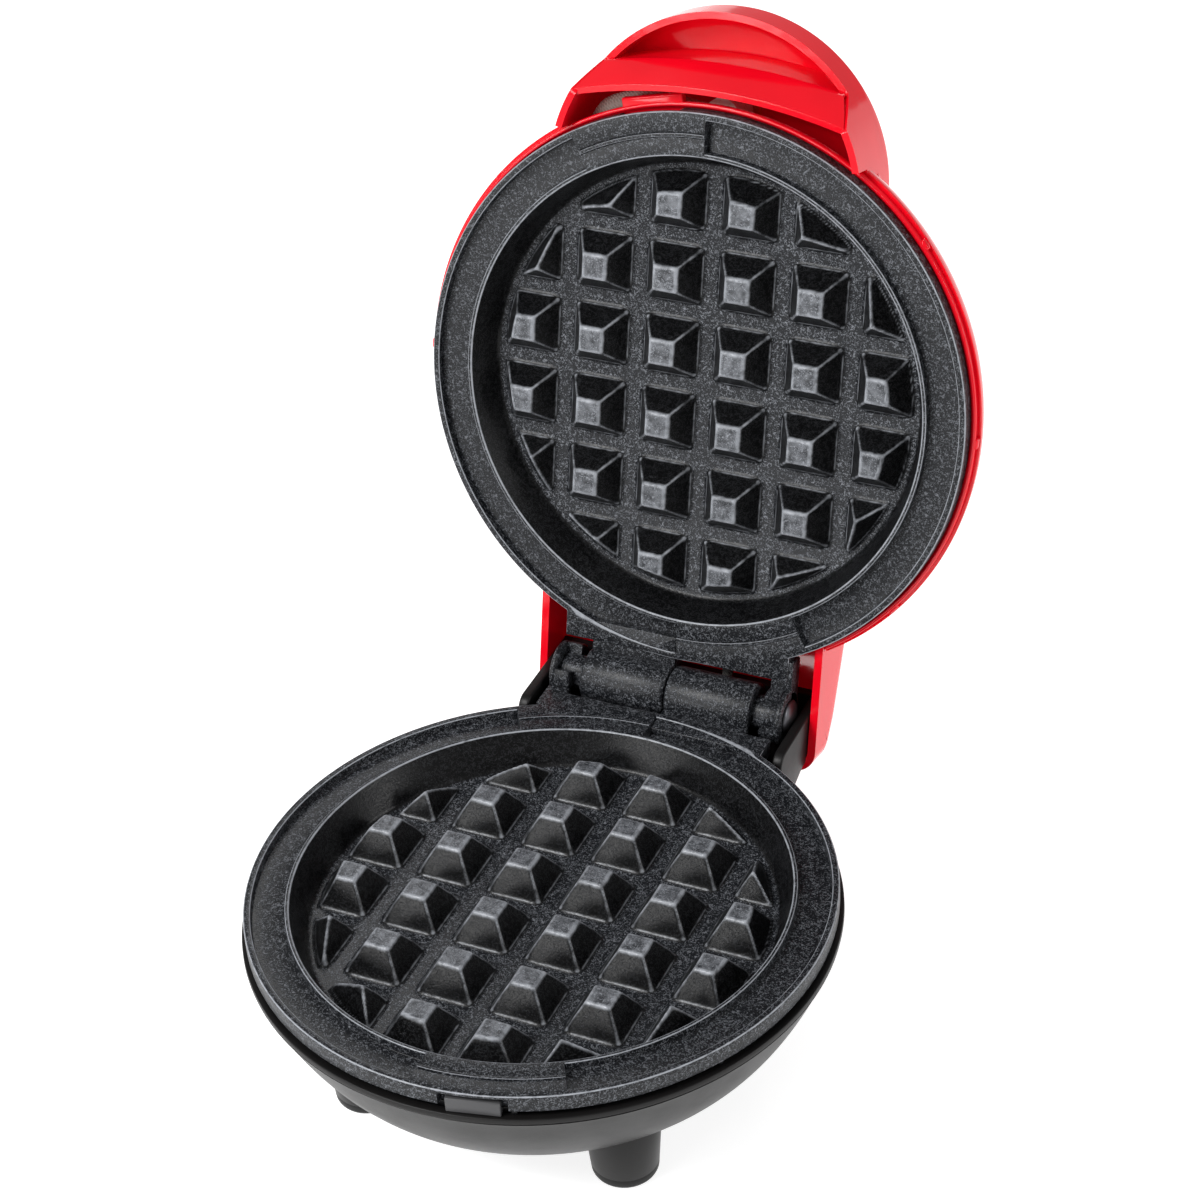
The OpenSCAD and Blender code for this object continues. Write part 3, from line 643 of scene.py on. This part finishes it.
def skirt(shape):
    """The wall below the tongue: an arc seen from above whose radius swells from the lower edge to
    a ridge, then goes straight up into the hood. Each row ends inside the hood's round wall."""
    z = np.array([0, 0.6, 2, 4, 6, 7.4, 8.0, 8.35, 8.6, 9.2, 12, 16, 19.6])
    swell = np.interp(z, [0, 8.0, 8.35, 8.6, 20], [0, 4.0, 4.05, 3.9, 3.9])
    rows = []
    for h, s in zip(z, swell):
        radius = SKIRT_R + s
        x = np.linspace(20, 35, 600)
        y = SKIRT_Y + SKIRT_R - np.sqrt(radius ** 2 - x ** 2)
        end = x[np.argmin(np.abs(np.hypot(x, y - HOOD_Y) - (HOOD_R - 0.5 - 1.2 * max(h - 16, 0))))]
        x = np.linspace(-end, end, 60)
        y = SKIRT_Y + SKIRT_R - np.sqrt(radius ** 2 - x ** 2)
        rows.append(np.stack([x, y, np.full(60, h)], -1))
    shape.grid(np.array(rows), flip=True)


def hinge_cover(shape):
    """The box over the hinge: its roof outline carried across X, drawn in by a quarter arc at both
    ends, then filled down to the lower edge as a flat side."""
    line = box_roof()
    d = np.gradient(line, axis=0)
    normal = np.stack([-d[:, 1], d[:, 0]], -1) / np.linalg.norm(d, axis=1)[:, None]
    normal = normal * np.sign(normal[0, 1])
    normal[-1] = [1, 0]

    def drawn_in(depth):
        q = line - normal * depth
        q[:, 1] = np.maximum(q[:, 1], BOX_Z)
        return q

    rows = []
    last = drawn_in(BOX_EDGE)
    edge = np.stack([np.linspace(38, last[-1, 0], len(line)), np.full(len(line), BOX_Z)], -1)
    for w in np.linspace(1, 0, 12)[:-1]:
        rows.append((BOX_X, (1 - w) * last + w * edge))
    for t in np.linspace(math.pi / 2, 0, 10):
        rows.append((BOX_X - BOX_EDGE + BOX_EDGE * math.sin(t), drawn_in(BOX_EDGE * (1 - math.cos(t)))))
    half = [np.stack([np.full(len(q), x), *q.T], -1) for x, q in rows]
    inner = [np.stack([np.full(len(line), x), *line.T], -1)
             for x in np.linspace(BOX_X - BOX_EDGE, -BOX_X + BOX_EDGE, 14)[1:-1]]
    other = [h * [-1, 1, 1] for h in half[::-1]]
    p = np.array(half + inner + other)
    m = middle_of(p)
    r = np.hypot(m[..., 0], m[..., 1])
    under = (r < 63.2) & (m[..., 2] < np.maximum(dome_height(r) - 1.2, LID_RIM + 1))
    shape.grid(p, keep=~under, flip=True)


def fairing(shape, lines, normals, radius):
    """A rolling-ball fillet against the dome. Along each line the ball's centre is where the line,
    moved out along its normals by the radius, first comes within the radius of the dome. The strip
    is the arc between both touching points, closed by a point inside the wall."""
    t = np.linspace(0, math.pi / 2, 700)
    prof = np.stack([LID_R * np.sin(t), LID_RIM + (LID_TOP - LID_RIM) * np.cos(t)], -1)
    sections = []
    for line, normal, ball in zip(lines, normals, radius):
        c = line + normal * ball
        r = np.hypot(c[:, 0], c[:, 1])
        away = np.hypot(r[:, None] - prof[:, 0], c[:, 2][:, None] - prof[:, 1])
        gap = away.min(1) * np.sign(c[:, 2] - dome_height(r) + 1e-9) - ball
        hit = np.flatnonzero((gap[:-1] > 0) & (gap[1:] <= 0))
        if not len(hit):
            continue
        i = hit[0]
        f = gap[i] / (gap[i] - gap[i + 1])
        centre = c[i] + (c[i + 1] - c[i]) * f
        on_line = line[i] + (line[i + 1] - line[i]) * f
        rc = math.hypot(centre[0], centre[1])
        near = prof[np.argmin(np.hypot(rc - prof[:, 0], centre[2] - prof[:, 1]))]
        on_dome = np.array([centre[0] / rc * near[0], centre[1] / rc * near[0], near[1]])
        a, b = on_line - centre, on_dome - centre
        a, b = a / np.linalg.norm(a), b / np.linalg.norm(b)
        angle = math.acos(np.clip(a @ b, -1, 1))
        s = np.linspace(0, 1, 9)[:, None]
        arc = (np.sin((1 - s) * angle) * a + np.sin(s * angle) * b) / max(math.sin(angle), 1e-6)
        out = centre + arc * (ball + 0.012)
        inside = centre + (a + b) / np.linalg.norm(a + b) * (ball / max(math.cos(angle / 2), 0.3) + 0.5)
        sections.append(np.vstack([out, inside]))
    shape.close(np.array(sections).transpose(1, 0, 2), wrap_u=True, caps=True)


def on_hood(x, y):
    """Height and outward normal of the hood above a point; the height ends at its wall."""
    r = np.hypot(x, y - HOOD_Y)
    h = 0.01
    fall = (hood_height(np.minimum(r + h, HOOD_R)) - hood_height(np.maximum(r - h, 0))) / (2 * h)
    out = np.stack([x, y - HOOD_Y], -1) / np.maximum(r, 1e-6)[:, None]
    size = np.hypot(1, fall)
    return hood_height(r), np.concatenate([-out * (fall / size)[:, None], 1 / size[:, None]], -1)


def on_cover(x, y):
    """Height and outward normal of the hinge cover above a point; the height ends at its sides."""
    over = np.clip((np.abs(x) - BOX_X + BOX_EDGE) / BOX_EDGE, 0, 1)
    drop = BOX_EDGE * (1 - np.sqrt(1 - over ** 2))
    fall = (roof_height(y + 0.05) - roof_height(y - 0.05)) / 0.1
    n = np.stack([np.sign(x) * over, -fall * np.sqrt(1 - over ** 2), np.sqrt(1 - over ** 2)], -1)
    return roof_height(y) - drop, n / np.linalg.norm(n, axis=1)[:, None]


def fan_of_lines(origin, turns, surface, length, side):
    """Lines on a surface that start at one point and spread: along each the height follows the
    surface until side(x, y) says that its wall is reached, then goes straight down."""
    lines, normals = [], []
    for a in turns:
        s = np.linspace(0, length, 500)
        x, y = origin[0] + s * math.sin(a), origin[1] - s * math.cos(a)
        wall = np.flatnonzero(side(x, y))
        end = wall[0] if len(wall) else len(s)
        x, y = x[:end], y[:end]
        z, n = surface(x, y)
        if len(wall):
            down = np.linspace(z[-1], 3.0, 300)[1:]
            flat = n[-1] * [1, 1, 0]
            flat = flat / max(np.linalg.norm(flat), 1e-6)
            x, y = np.append(x, np.full(299, x[-1])), np.append(y, np.full(299, y[-1]))
            z, n = np.append(z, down), np.vstack([n, np.tile(flat, (299, 1))])
        lines.append(np.stack([x, y, z], -1))
        normals.append(n)
    return lines, normals


def fairings():
    """Fillets where the hood and the hinge cover rise out of the dome: small beside the rim, wide
    over the crown."""
    shape = Shape()
    turns = np.radians(np.arange(110.5, 250, 1.5))
    lines, normals = fan_of_lines((0, -66), turns, on_hood, 48,
                                  lambda x, y: np.hypot(x, y - HOOD_Y) > HOOD_R - 0.02)
    wide = np.clip((70 - np.abs(np.degrees(turns) - 180)) / 34, 0, 1)
    fairing(shape, lines, normals, 2.2 + 7.8 * wide ** 1.5)
    turns = np.radians(np.arange(-63, 63.5, 1.5))
    lines, normals = fan_of_lines((0, 70), turns, on_cover, 46, lambda x, y: np.abs(x) > BOX_X - 0.02)
    wide = np.clip((58 - np.abs(np.degrees(turns))) / 30, 0, 1)
    fairing(shape, lines, normals, 2.2 + 5.0 * wide ** 1.5)
    return shape


def lid_ring():
    """The ring round the upper plate: a flat ring with a raised lip, open over the hinge, and small
    rounded lugs where it snaps into the shell."""
    shape = Shape()
    section = rounded([[60, 8.1], [57.2, 8.1], [57.2, 4.3], [62.85, 4.3], [62.85, 3.1], [63.75, 3.1],
                       [63.75, 4.8], [61.2, 4.8], [61.2, 8.1], [60, 8.1]], 0.28, 4)[:-1]
    p = turned(section, np.radians(np.linspace(90 + 30.5, 450 - 30.5, 240)))
    shape.close(p.transpose(1, 0, 2), wrap_u=True, caps=True)
    for a in np.radians([50, 90, 130, -50, -90, -130]):
        lug = box((-1.25, 1.25), (-64.35, -62.9), (3.3, 5.2), 0.55, 5)
        shape.close(about_z(lug, a), wrap_u=True, caps=True)
    tab = box((-7.1, 7.1), (-65.3, -62.6), (3.5, 5.6), 0.4)
    shape.close(about_z(tab, -math.radians(NOTCH_A)), wrap_u=True, caps=True)
    return shape


def sleeve():
    """A woven sleeve: a tube carried along a smooth route, with a slight flattening."""
    route = np.array([[-4.1, -60, 11], [-9, -60.6, 11], [-15, -61.2, 10.5], [-21.5, -60.4, 10.5],
                      [-27, -57.8, 11], [-30, -53.2, 12]])
    s = np.linspace(0, len(route) - 1, 60)
    i = np.clip(s.astype(int), 0, len(route) - 2)
    f = (s - i)[:, None]
    g = lambda k: route[np.clip(i + k, 0, len(route) - 1)]
    p = 0.5 * (2 * g(0) + (g(1) - g(-1)) * f + (2 * g(-1) - 5 * g(0) + 4 * g(1) - g(2)) * f ** 2
               + (3 * g(0) - g(-1) - 3 * g(1) + g(2)) * f ** 3)
    d = np.gradient(p, axis=0)
    d /= np.linalg.norm(d, axis=1)[:, None]
    side = np.cross(d, [0, 0, 1.0])
    side /= np.linalg.norm(side, axis=1)[:, None]
    up = np.cross(side, d)
    a = circle(40)[:, None, None]
    tube = p + 2.0 * (np.cos(a) * side + 0.9 * np.sin(a) * up)
    return Shape().close(tube, wrap_u=True, caps=True)


def pin_ends():
    """The hinge pin: a long bar and a domed head."""
    shape = Shape()
    shape.close(rod(-28.9, 28.3, PIN_R, 0.3, 32), wrap_u=True, caps=True)
    t = np.linspace(0, math.pi / 2, 9)
    head = np.stack([4.2 * np.cos(t), 28.2 + 1.1 * np.sin(t)], -1)[:-1]
    p = turned(np.vstack([[[3.9, 28.05]], head]), circle(48))
    shape.close(np.stack([p[..., 2], p[..., 0] + HINGE_Y, p[..., 1]], -1), wrap_u=True, caps=True)
    return shape


# ---- Finishes ----

class Value:
    """A shader socket. The usual operators on it add Math nodes."""

    def __init__(self, finish, socket):
        self.finish, self.socket = finish, socket

    def sum_of(self, operation, *others):
        return self.finish.node("Math", {"operation": operation}, dict(enumerate(others)))

    def __add__(self, o): return self.sum_of("ADD", self, o)
    def __radd__(self, o): return self.sum_of("ADD", o, self)
    def __sub__(self, o): return self.sum_of("SUBTRACT", self, o)
    def __rsub__(self, o): return self.sum_of("SUBTRACT", o, self)
    def __mul__(self, o): return self.sum_of("MULTIPLY", self, o)
    def __rmul__(self, o): return self.sum_of("MULTIPLY", o, self)
    def __abs__(self): return self.sum_of("ABSOLUTE", self)


class Finish:
    """A material under construction."""

    def __init__(self, name):
        self.material = bpy.data.materials.new(name)
        self.material.use_nodes = True
        self.nodes = self.material.node_tree.nodes
        self.links = self.material.node_tree.links
        self.nodes.clear()

    def node(self, kind, settings, inputs, output=0):
        """One shader node: its settings first, then its sockets, as numbers, colours or links."""
        made = self.nodes.new("ShaderNode" + kind)
        for key, value in settings.items():
            setattr(made, key, value)
        for key, value in inputs.items():
            if isinstance(value, Value):
                self.links.new(value.socket, made.inputs[key])
            else:
                made.inputs[key].default_value = value
        return Value(self, made.outputs[output])

    def place(self):
        """Object coordinates in millimetres."""
        at = self.node("TexCoord", {}, {}, "Object")
        return self.node("VectorMath", {"operation": "SCALE"}, {"Vector": at, "Scale": 1000.0})

    def noise(self, scale, detail=2.0, rough=0.5, distortion=0.0):
        """Noise whose grains are about 1 / scale millimetres wide."""
        return self.node("TexNoise", {}, {"Vector": self.place(), "Scale": scale, "Detail": detail,
                                          "Roughness": rough, "Distortion": distortion})

    def attribute(self, name):
        return self.node("Attribute", {"attribute_name": name}, {}, "Fac")

    def step(self, value, low, high):
        """0 below low, 1 above high, eased between."""
        return self.node("MapRange", {"interpolation_type": "SMOOTHSTEP"},
                         {"Value": value, "From Min": low, "From Max": high})

    def mix(self, fac, a, b):
        """Colour a where fac is 0 and b where it is 1."""
        return self.node("Mix", {"data_type": "RGBA"}, {"Factor": fac, 6: a, 7: b}, 2)

    def bump(self, height, distance):
        """A normal for a surface that rises by up to the distance, in millimetres."""
        return self.node("Bump", {}, {"Height": height, "Distance": distance * MM, "Strength": 1.0})

    def surface(self, color, roughness, normal=None, **more):
        inputs = {"Base Color": color, "Roughness": roughness}
        inputs.update({key.replace("_", " "): value for key, value in more.items()})
        if normal is not None:
            inputs["Normal"] = normal
        shader = self.node("BsdfPrincipled", {}, inputs)
        out = self.nodes.new("ShaderNodeOutputMaterial")
        self.links.new(shader.socket, out.inputs["Surface"])
        return self.material


def rgb(r, g, b):
    return (r, g, b, 1.0)


def coated_plate():
    """Dark non-stick coating with short pale curls and specks, smoother on slopes. Faces that look up
    are painted lighter and slopes blacker, as painted light and shade, and the curls show mostly on
    the faces that look up, as painted glints. Edges and pyramid tops are painted pale, partly rubbed
    coating and partly painted highlight."""
    f = Finish("coated_plate")
    curl = abs(f.noise(1.5, 1.0, 0.4, distortion=0.8) - 0.5)
    line = 1 - f.step(curl, 0.015, 0.045)
    broken = f.step(f.noise(0.9, 1.0), 0.40, 0.52)
    speck = f.step(f.noise(2.6, 2.0, 0.6), 0.55, 0.65)
    marks = f.step(line * broken + speck * 0.8, 0.1, 0.9)
    level = f.step(f.attribute("level"), 0.80, 0.97)
    wear = f.attribute("wear")
    patchy = f.step(f.noise(0.5, 3.0, 0.6), 0.2, 0.75)
    # painted shade and light: the ground is near black on slopes and lighter on faces that look up
    ground_and_tilt_shade = f.mix(level, rgb(0.0012, 0.0012, 0.0015), rgb(0.0075, 0.0085, 0.011))
    # the pale curls and specks show mostly on faces that look up: real specks, lit there as painted glints
    specks_and_tilt_glints = f.mix(marks * (level * 0.9 + 0.1), ground_and_tilt_shade, rgb(0.18, 0.19, 0.21))
    # pale edges and pyramid tops: partly rubbed coating, partly painted highlight
    edge = f.step(wear * (0.6 + 0.5 * patchy), 0.25, 0.95)
    color = f.mix(edge * 0.75, specks_and_tilt_glints, rgb(0.42, 0.44, 0.48))
    rough = 0.30 + 0.06 * level + 0.10 * marks * level - 0.06 * edge
    normal = f.bump(marks * (0.4 + 0.6 * level) + 0.5 * f.noise(2.2, 2.0), 0.09)
    return f.surface(color, rough, normal, Specular_IOR_Level=0.26)


def gloss_red(name, color, roughness, wave):
    """High gloss moulded plastic: a faint flow in the colour, a very shallow ripple, and a trace of
    its own colour as glow, which keeps shaded sides deep red."""
    f = Finish(name)
    flow = f.noise(0.06, 2.0)
    tint = f.mix(f.step(flow, 0.3, 0.7), color, rgb(color[0] * 0.93, color[1] * 0.9, color[2] * 0.9))
    normal = f.bump(f.noise(0.22, 1.0), wave)
    rough = roughness + 0.05 * f.noise(1.4, 2.0)
    return f.surface(tint, rough, normal, Specular_IOR_Level=0.34,
                     Emission_Color=tint, Emission_Strength=0.05)


def satin_black(name, color, roughness, grain, depth):
    """Moulded plastic with a fine even grain and slight scuffs."""
    f = Finish(name)
    texture = f.noise(grain, 3.0, 0.6)
    scuff = f.step(f.noise(0.08, 4.0, 0.6), 0.35, 0.8)
    tone = f.mix(scuff * 0.5, rgb(*[c * 0.92 for c in color]), rgb(*[c * 1.12 for c in color]))
    rough = roughness + 0.08 * scuff
    return f.surface(tone, rough, f.bump(texture, depth), Specular_IOR_Level=0.24)


def metal(name, color, roughness, tint):
    """Plain or heat-stained metal with fine random marks."""
    f = Finish(name)
    stain = f.step(f.noise(0.12, 3.0, 0.6), 0.35, 0.7)
    tone = f.mix(stain, rgb(*color), rgb(*tint))
    rough = roughness + 0.12 * f.noise(0.9, 3.0)
    return f.surface(tone, rough, f.bump(f.noise(1.5, 2.0), 0.02), Metallic=0.95)


def woven(name, light, dark, pitch):
    """A braided sleeve: two crossing sets of stripes."""
    f = Finish(name)
    at = f.place()
    stripe = lambda turn: f.node("TexWave", {"wave_type": "BANDS", "bands_direction": "DIAGONAL"},
                                 {"Vector": f.node("Mapping", {}, {"Vector": at, "Rotation": turn}),
                                  "Scale": pitch, "Distortion": 0.4}, "Fac")
    cross = stripe((0, 0, 0)) * 0.5 + stripe((0, 0, math.pi / 2)) * 0.5
    return f.surface(f.mix(cross, rgb(*dark), rgb(*light)), 0.7 + 0.1 * cross, f.bump(cross, 0.15))


def ceramic():
    """Chalky white body with grey specks."""
    f = Finish("ceramic")
    tone = f.mix(f.step(f.noise(1.2, 3.0), 0.55, 0.75), rgb(0.75, 0.73, 0.68), rgb(0.5, 0.48, 0.45))
    return f.surface(tone, 0.6 + 0.1 * f.noise(0.5), f.bump(f.noise(2.0, 3.0), 0.04))


def lens():
    """Clear amber-red cap with a moulded inner pattern."""
    f = Finish("lens")
    tone = f.mix(f.noise(0.8, 2.0), rgb(0.75, 0.10, 0.02), rgb(0.95, 0.24, 0.05))
    return f.surface(tone, 0.08 + 0.05 * f.noise(2.0), f.bump(f.noise(1.2), 0.03), Transmission_Weight=0.35,
                     Coat_Weight=0.5)


def neon():
    """Glass bulb with a warm glow inside."""
    f = Finish("neon")
    tone = f.mix(f.noise(0.6, 2.0), rgb(0.85, 0.35, 0.12), rgb(0.95, 0.55, 0.25))
    return f.surface(tone, 0.08 + 0.04 * f.noise(1.0), f.bump(f.noise(0.9), 0.02))


def worktop():
    """The plain pale floor, with the faintest grain."""
    f = Finish("worktop")
    tone = f.mix(f.noise(0.02, 2.0), rgb(0.55, 0.55, 0.55), rgb(0.58, 0.58, 0.58))
    return f.surface(tone, 0.75 + 0.05 * f.noise(0.1), f.bump(f.noise(0.6, 2.0), 0.01),
                     Emission_Color=rgb(1.0, 1.0, 1.0), Emission_Strength=0.8)


FINISHES = {
    "coated_plate": coated_plate(),
    "red_shell": gloss_red("red_shell", rgb(0.76, 0.002, 0.012), 0.06, 0.02),
    "red_trim": gloss_red("red_trim", rgb(0.72, 0.002, 0.012), 0.09, 0.015),
    "black_shell": satin_black("black_shell", (0.0065, 0.006, 0.006), 0.38, 2.4, 0.02),
    "black_trim": satin_black("black_trim", (0.010, 0.010, 0.011), 0.14, 1.2, 0.008),
    "foot": satin_black("foot", (0.005, 0.005, 0.005), 0.45, 1.8, 0.03),
    "steel": metal("steel", (0.52, 0.52, 0.53), 0.28, (0.42, 0.42, 0.44)),
    "sheath": metal("sheath", (0.34, 0.31, 0.30), 0.38, (0.22, 0.18, 0.20)),
    "reflector": metal("reflector", (0.75, 0.75, 0.76), 0.16, (0.62, 0.62, 0.60)),
    "ceramic": ceramic(),
    "wiring": woven("wiring", (0.16, 0.15, 0.14), (0.05, 0.05, 0.05), 0.8),
    "sleeve": woven("sleeve", (0.55, 0.53, 0.48), (0.28, 0.26, 0.22), 0.6),
    "lens": lens(),
    "neon": neon(),
}
PIN = metal("pin", (0.10, 0.10, 0.11), 0.32, (0.06, 0.06, 0.065))
TAB = satin_black("tab", (0.07, 0.07, 0.073), 0.30, 2.0, 0.01)


# ---- The pieces ----

def fit(thing, body, slot, *nodes, finish=None):
    """Gives a piece its body, its finish and the CAD nodes that it stands for."""
    thing.data.materials.append(finish or FINISHES[slot])
    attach(thing, body)
    if nodes:
        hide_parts(*nodes)
    return thing


def finished(thing, cutters=()):
    """Works out the modifiers, and holes cut by the given pieces, into the mesh."""
    for cutter in cutters:
        cut = thing.modifiers.new("cut", "BOOLEAN")
        cut.object, cut.operation, cut.solver = cutter, "DIFFERENCE", "EXACT"
    bpy.context.view_layer.update()
    made = bpy.data.meshes.new_from_object(thing.evaluated_get(bpy.context.evaluated_depsgraph_get()))
    thing.modifiers.clear()
    thing.data = made
    for cutter in cutters:
        bpy.data.objects.remove(cutter)
    return thing


def walled(thing, wall, edge):
    """A sheet given its wall inwards, with small round edges."""
    solid = thing.modifiers.new("wall", "SOLIDIFY")
    solid.thickness, solid.offset, solid.use_even_offset = wall * MM, -1, False
    bevel = thing.modifiers.new("edge", "BEVEL")
    bevel.width, bevel.segments, bevel.harden_normals = edge * MM, 2, True
    bevel.limit_method, bevel.angle_limit = "ANGLE", math.radians(60)
    return thing


def bowl_cutters():
    """Air slots, screw holes and the cord inlet."""
    cuts = Shape()
    for x in range(-12, 13, 6):
        cuts.close(box((x - 1.2, x + 1.2), (-14, 14), (BOWL_Z - 3, BOWL_Z + 6), 1.1), wrap_u=True, caps=True)
    for x in (-SCREW_AT[0], SCREW_AT[0]):
        for y in (-SCREW_AT[1], SCREW_AT[1]):
            hole = turned(np.array([[3.6, BOWL_Z - 3.0], [3.6, -27.0]]), circle(32))
            cuts.close(hole + [x, y, 0], wrap_u=True, caps=True)
    bush = turned(np.array([[5.12, -8.0], [5.12, 8.0]]), circle(64))
    cuts.close(on_inlet(bush), wrap_u=True, caps=True)
    return cuts.object("cuts", in_base)


plate = waffle_plate()
fit(plate.object("lower_waffle_plate", in_base), "base", "coated_plate", "lower_plate")
fit(plate.object("upper_waffle_plate", in_upper_plate), "lid", "coated_plate", "upper_plate")

bowl_shape = Shape()
bowl(bowl_shape)
bowl_thing = finished(bowl_shape.object("base_bowl", in_base), [bowl_cutters()])
fit(bowl_thing, "base", "black_shell", "base_shell")
frame_shape = Shape()
neck(frame_shape)
legs(frame_shape)
inlet_boss(frame_shape)
fit(frame_shape.object("base_neck_and_legs", in_base), "base", "black_shell", "base_shell")
fit(foot_pads().object("feet", in_base), "base", "foot", "foot_pads")
fit(base_ring().object("base_trim_ring", in_base), "base", "black_trim", "base_ring")
fit(base_tab().object("base_locating_tab", in_base), "base", "black_trim", "base_ring", finish=TAB)
fit(pin_ends().object("hinge_bar", in_base), "base", "steel", "hinge_pin", finish=PIN)

sheets = (("lid_dome", dome, WALL, 0.3), ("lid_hood", hood, 1.5, 0.55), ("lid_skirt", skirt, 1.7, 0.45),
          ("lid_hinge_cover", hinge_cover, 1.8, 0.4))
for name, make, thick, edge in sheets:
    sheet = Shape()
    make(sheet)
    thing = walled(sheet.object(name, in_lid, math.radians(25)), thick, edge)
    fit(thing, "lid", "red_shell", "lid_shell")
fit(fairings().object("lid_fairings", in_lid), "lid", "red_shell", "lid_shell")
fit(lid_ring().object("lid_trim_ring", in_lid), "lid", "red_trim", "lid_ring")
fit(sleeve().object("lamp_sleeve", in_lid), "lid", "sleeve", "lamp_lead_sleeve")

slots = {part["node"]: part["material_slot"] for part in frame["record"]["subparts"]}
for node, thing in frame["nodes"].items():
    thing.data.materials.clear()
    thing.data.materials.append(FINISHES[slots[node]])


# ---- Floor, light and camera ----

def flat_square(name, half):
    """A level square at the table's height, centred under the object."""
    mesh = bpy.data.meshes.new(name)
    corners = [(-half, -half, 0), (half, -half, 0), (half, half, 0), (-half, half, 0)]
    mesh.from_pydata(corners, [], [(0, 1, 2, 3)])
    thing = bpy.data.objects.new(name, mesh)
    bpy.context.scene.collection.objects.link(thing)
    return thing


floor = flat_square("worktop", 6.0)
floor.data.materials.append(worktop())

world = bpy.data.worlds.new("studio")
world.use_nodes = True
world.node_tree.nodes["Background"].inputs["Color"].default_value = rgb(1.0, 1.0, 1.0)
world.node_tree.nodes["Background"].inputs["Strength"].default_value = 0.32
bpy.context.scene.world = world


def softbox(name, place, aim, width, height, power):
    """A rectangular soft light that looks at a point."""
    light = bpy.data.lights.new(name, "AREA")
    light.shape, light.size, light.size_y, light.energy = "RECTANGLE", width, height, power
    thing = bpy.data.objects.new(name, light)
    bpy.context.scene.collection.objects.link(thing)
    thing.location = place
    thing.rotation_euler = (Vector(aim) - Vector(place)).to_track_quat("-Z", "Y").to_euler()


softbox("key", (-0.45, -0.72, 0.98), (0, 0, 0.08), 0.45, 0.45, 13)
softbox("front_left", (-0.65, -1.35, 0.40), (0, 0, 0.09), 0.7, 0.4, 7)
softbox("right", (1.2, 0.1, 0.5), (0, 0, 0.08), 0.3, 0.7, 5)
softbox("back", (-0.3, 1.1, 0.9), (0, 0, 0.08), 0.8, 0.4, 6)

AIM = [15.56, 5.9, 73.21]
DISTANCE = 621.16
AZIMUTH, ELEVATION, ROLL = math.radians(26.5), math.radians(35.6), math.radians(-4.01)
back = Vector((math.sin(AZIMUTH) * math.cos(ELEVATION), -math.cos(AZIMUTH) * math.cos(ELEVATION),
               math.sin(ELEVATION)))
flat_right = Vector((math.cos(AZIMUTH), math.sin(AZIMUTH), 0))
flat_up = back.cross(flat_right)
right = flat_right * math.cos(ROLL) + flat_up * math.sin(ROLL)
up = flat_up * math.cos(ROLL) - flat_right * math.sin(ROLL)
camera = bpy.data.objects.new("camera", bpy.data.cameras.new("camera"))
bpy.context.scene.collection.objects.link(camera)
camera.data.lens, camera.data.sensor_width = 95.31, 36.0
camera.data.clip_start, camera.data.clip_end = 0.02, 50
spot = in_base(AIM + np.array(back) * DISTANCE)
camera.matrix_world = Matrix.Translation(spot) @ Matrix((right, up, back)).transposed().to_4x4()
bpy.context.scene.camera = camera
bpy.context.scene.view_settings.view_transform = "Standard"
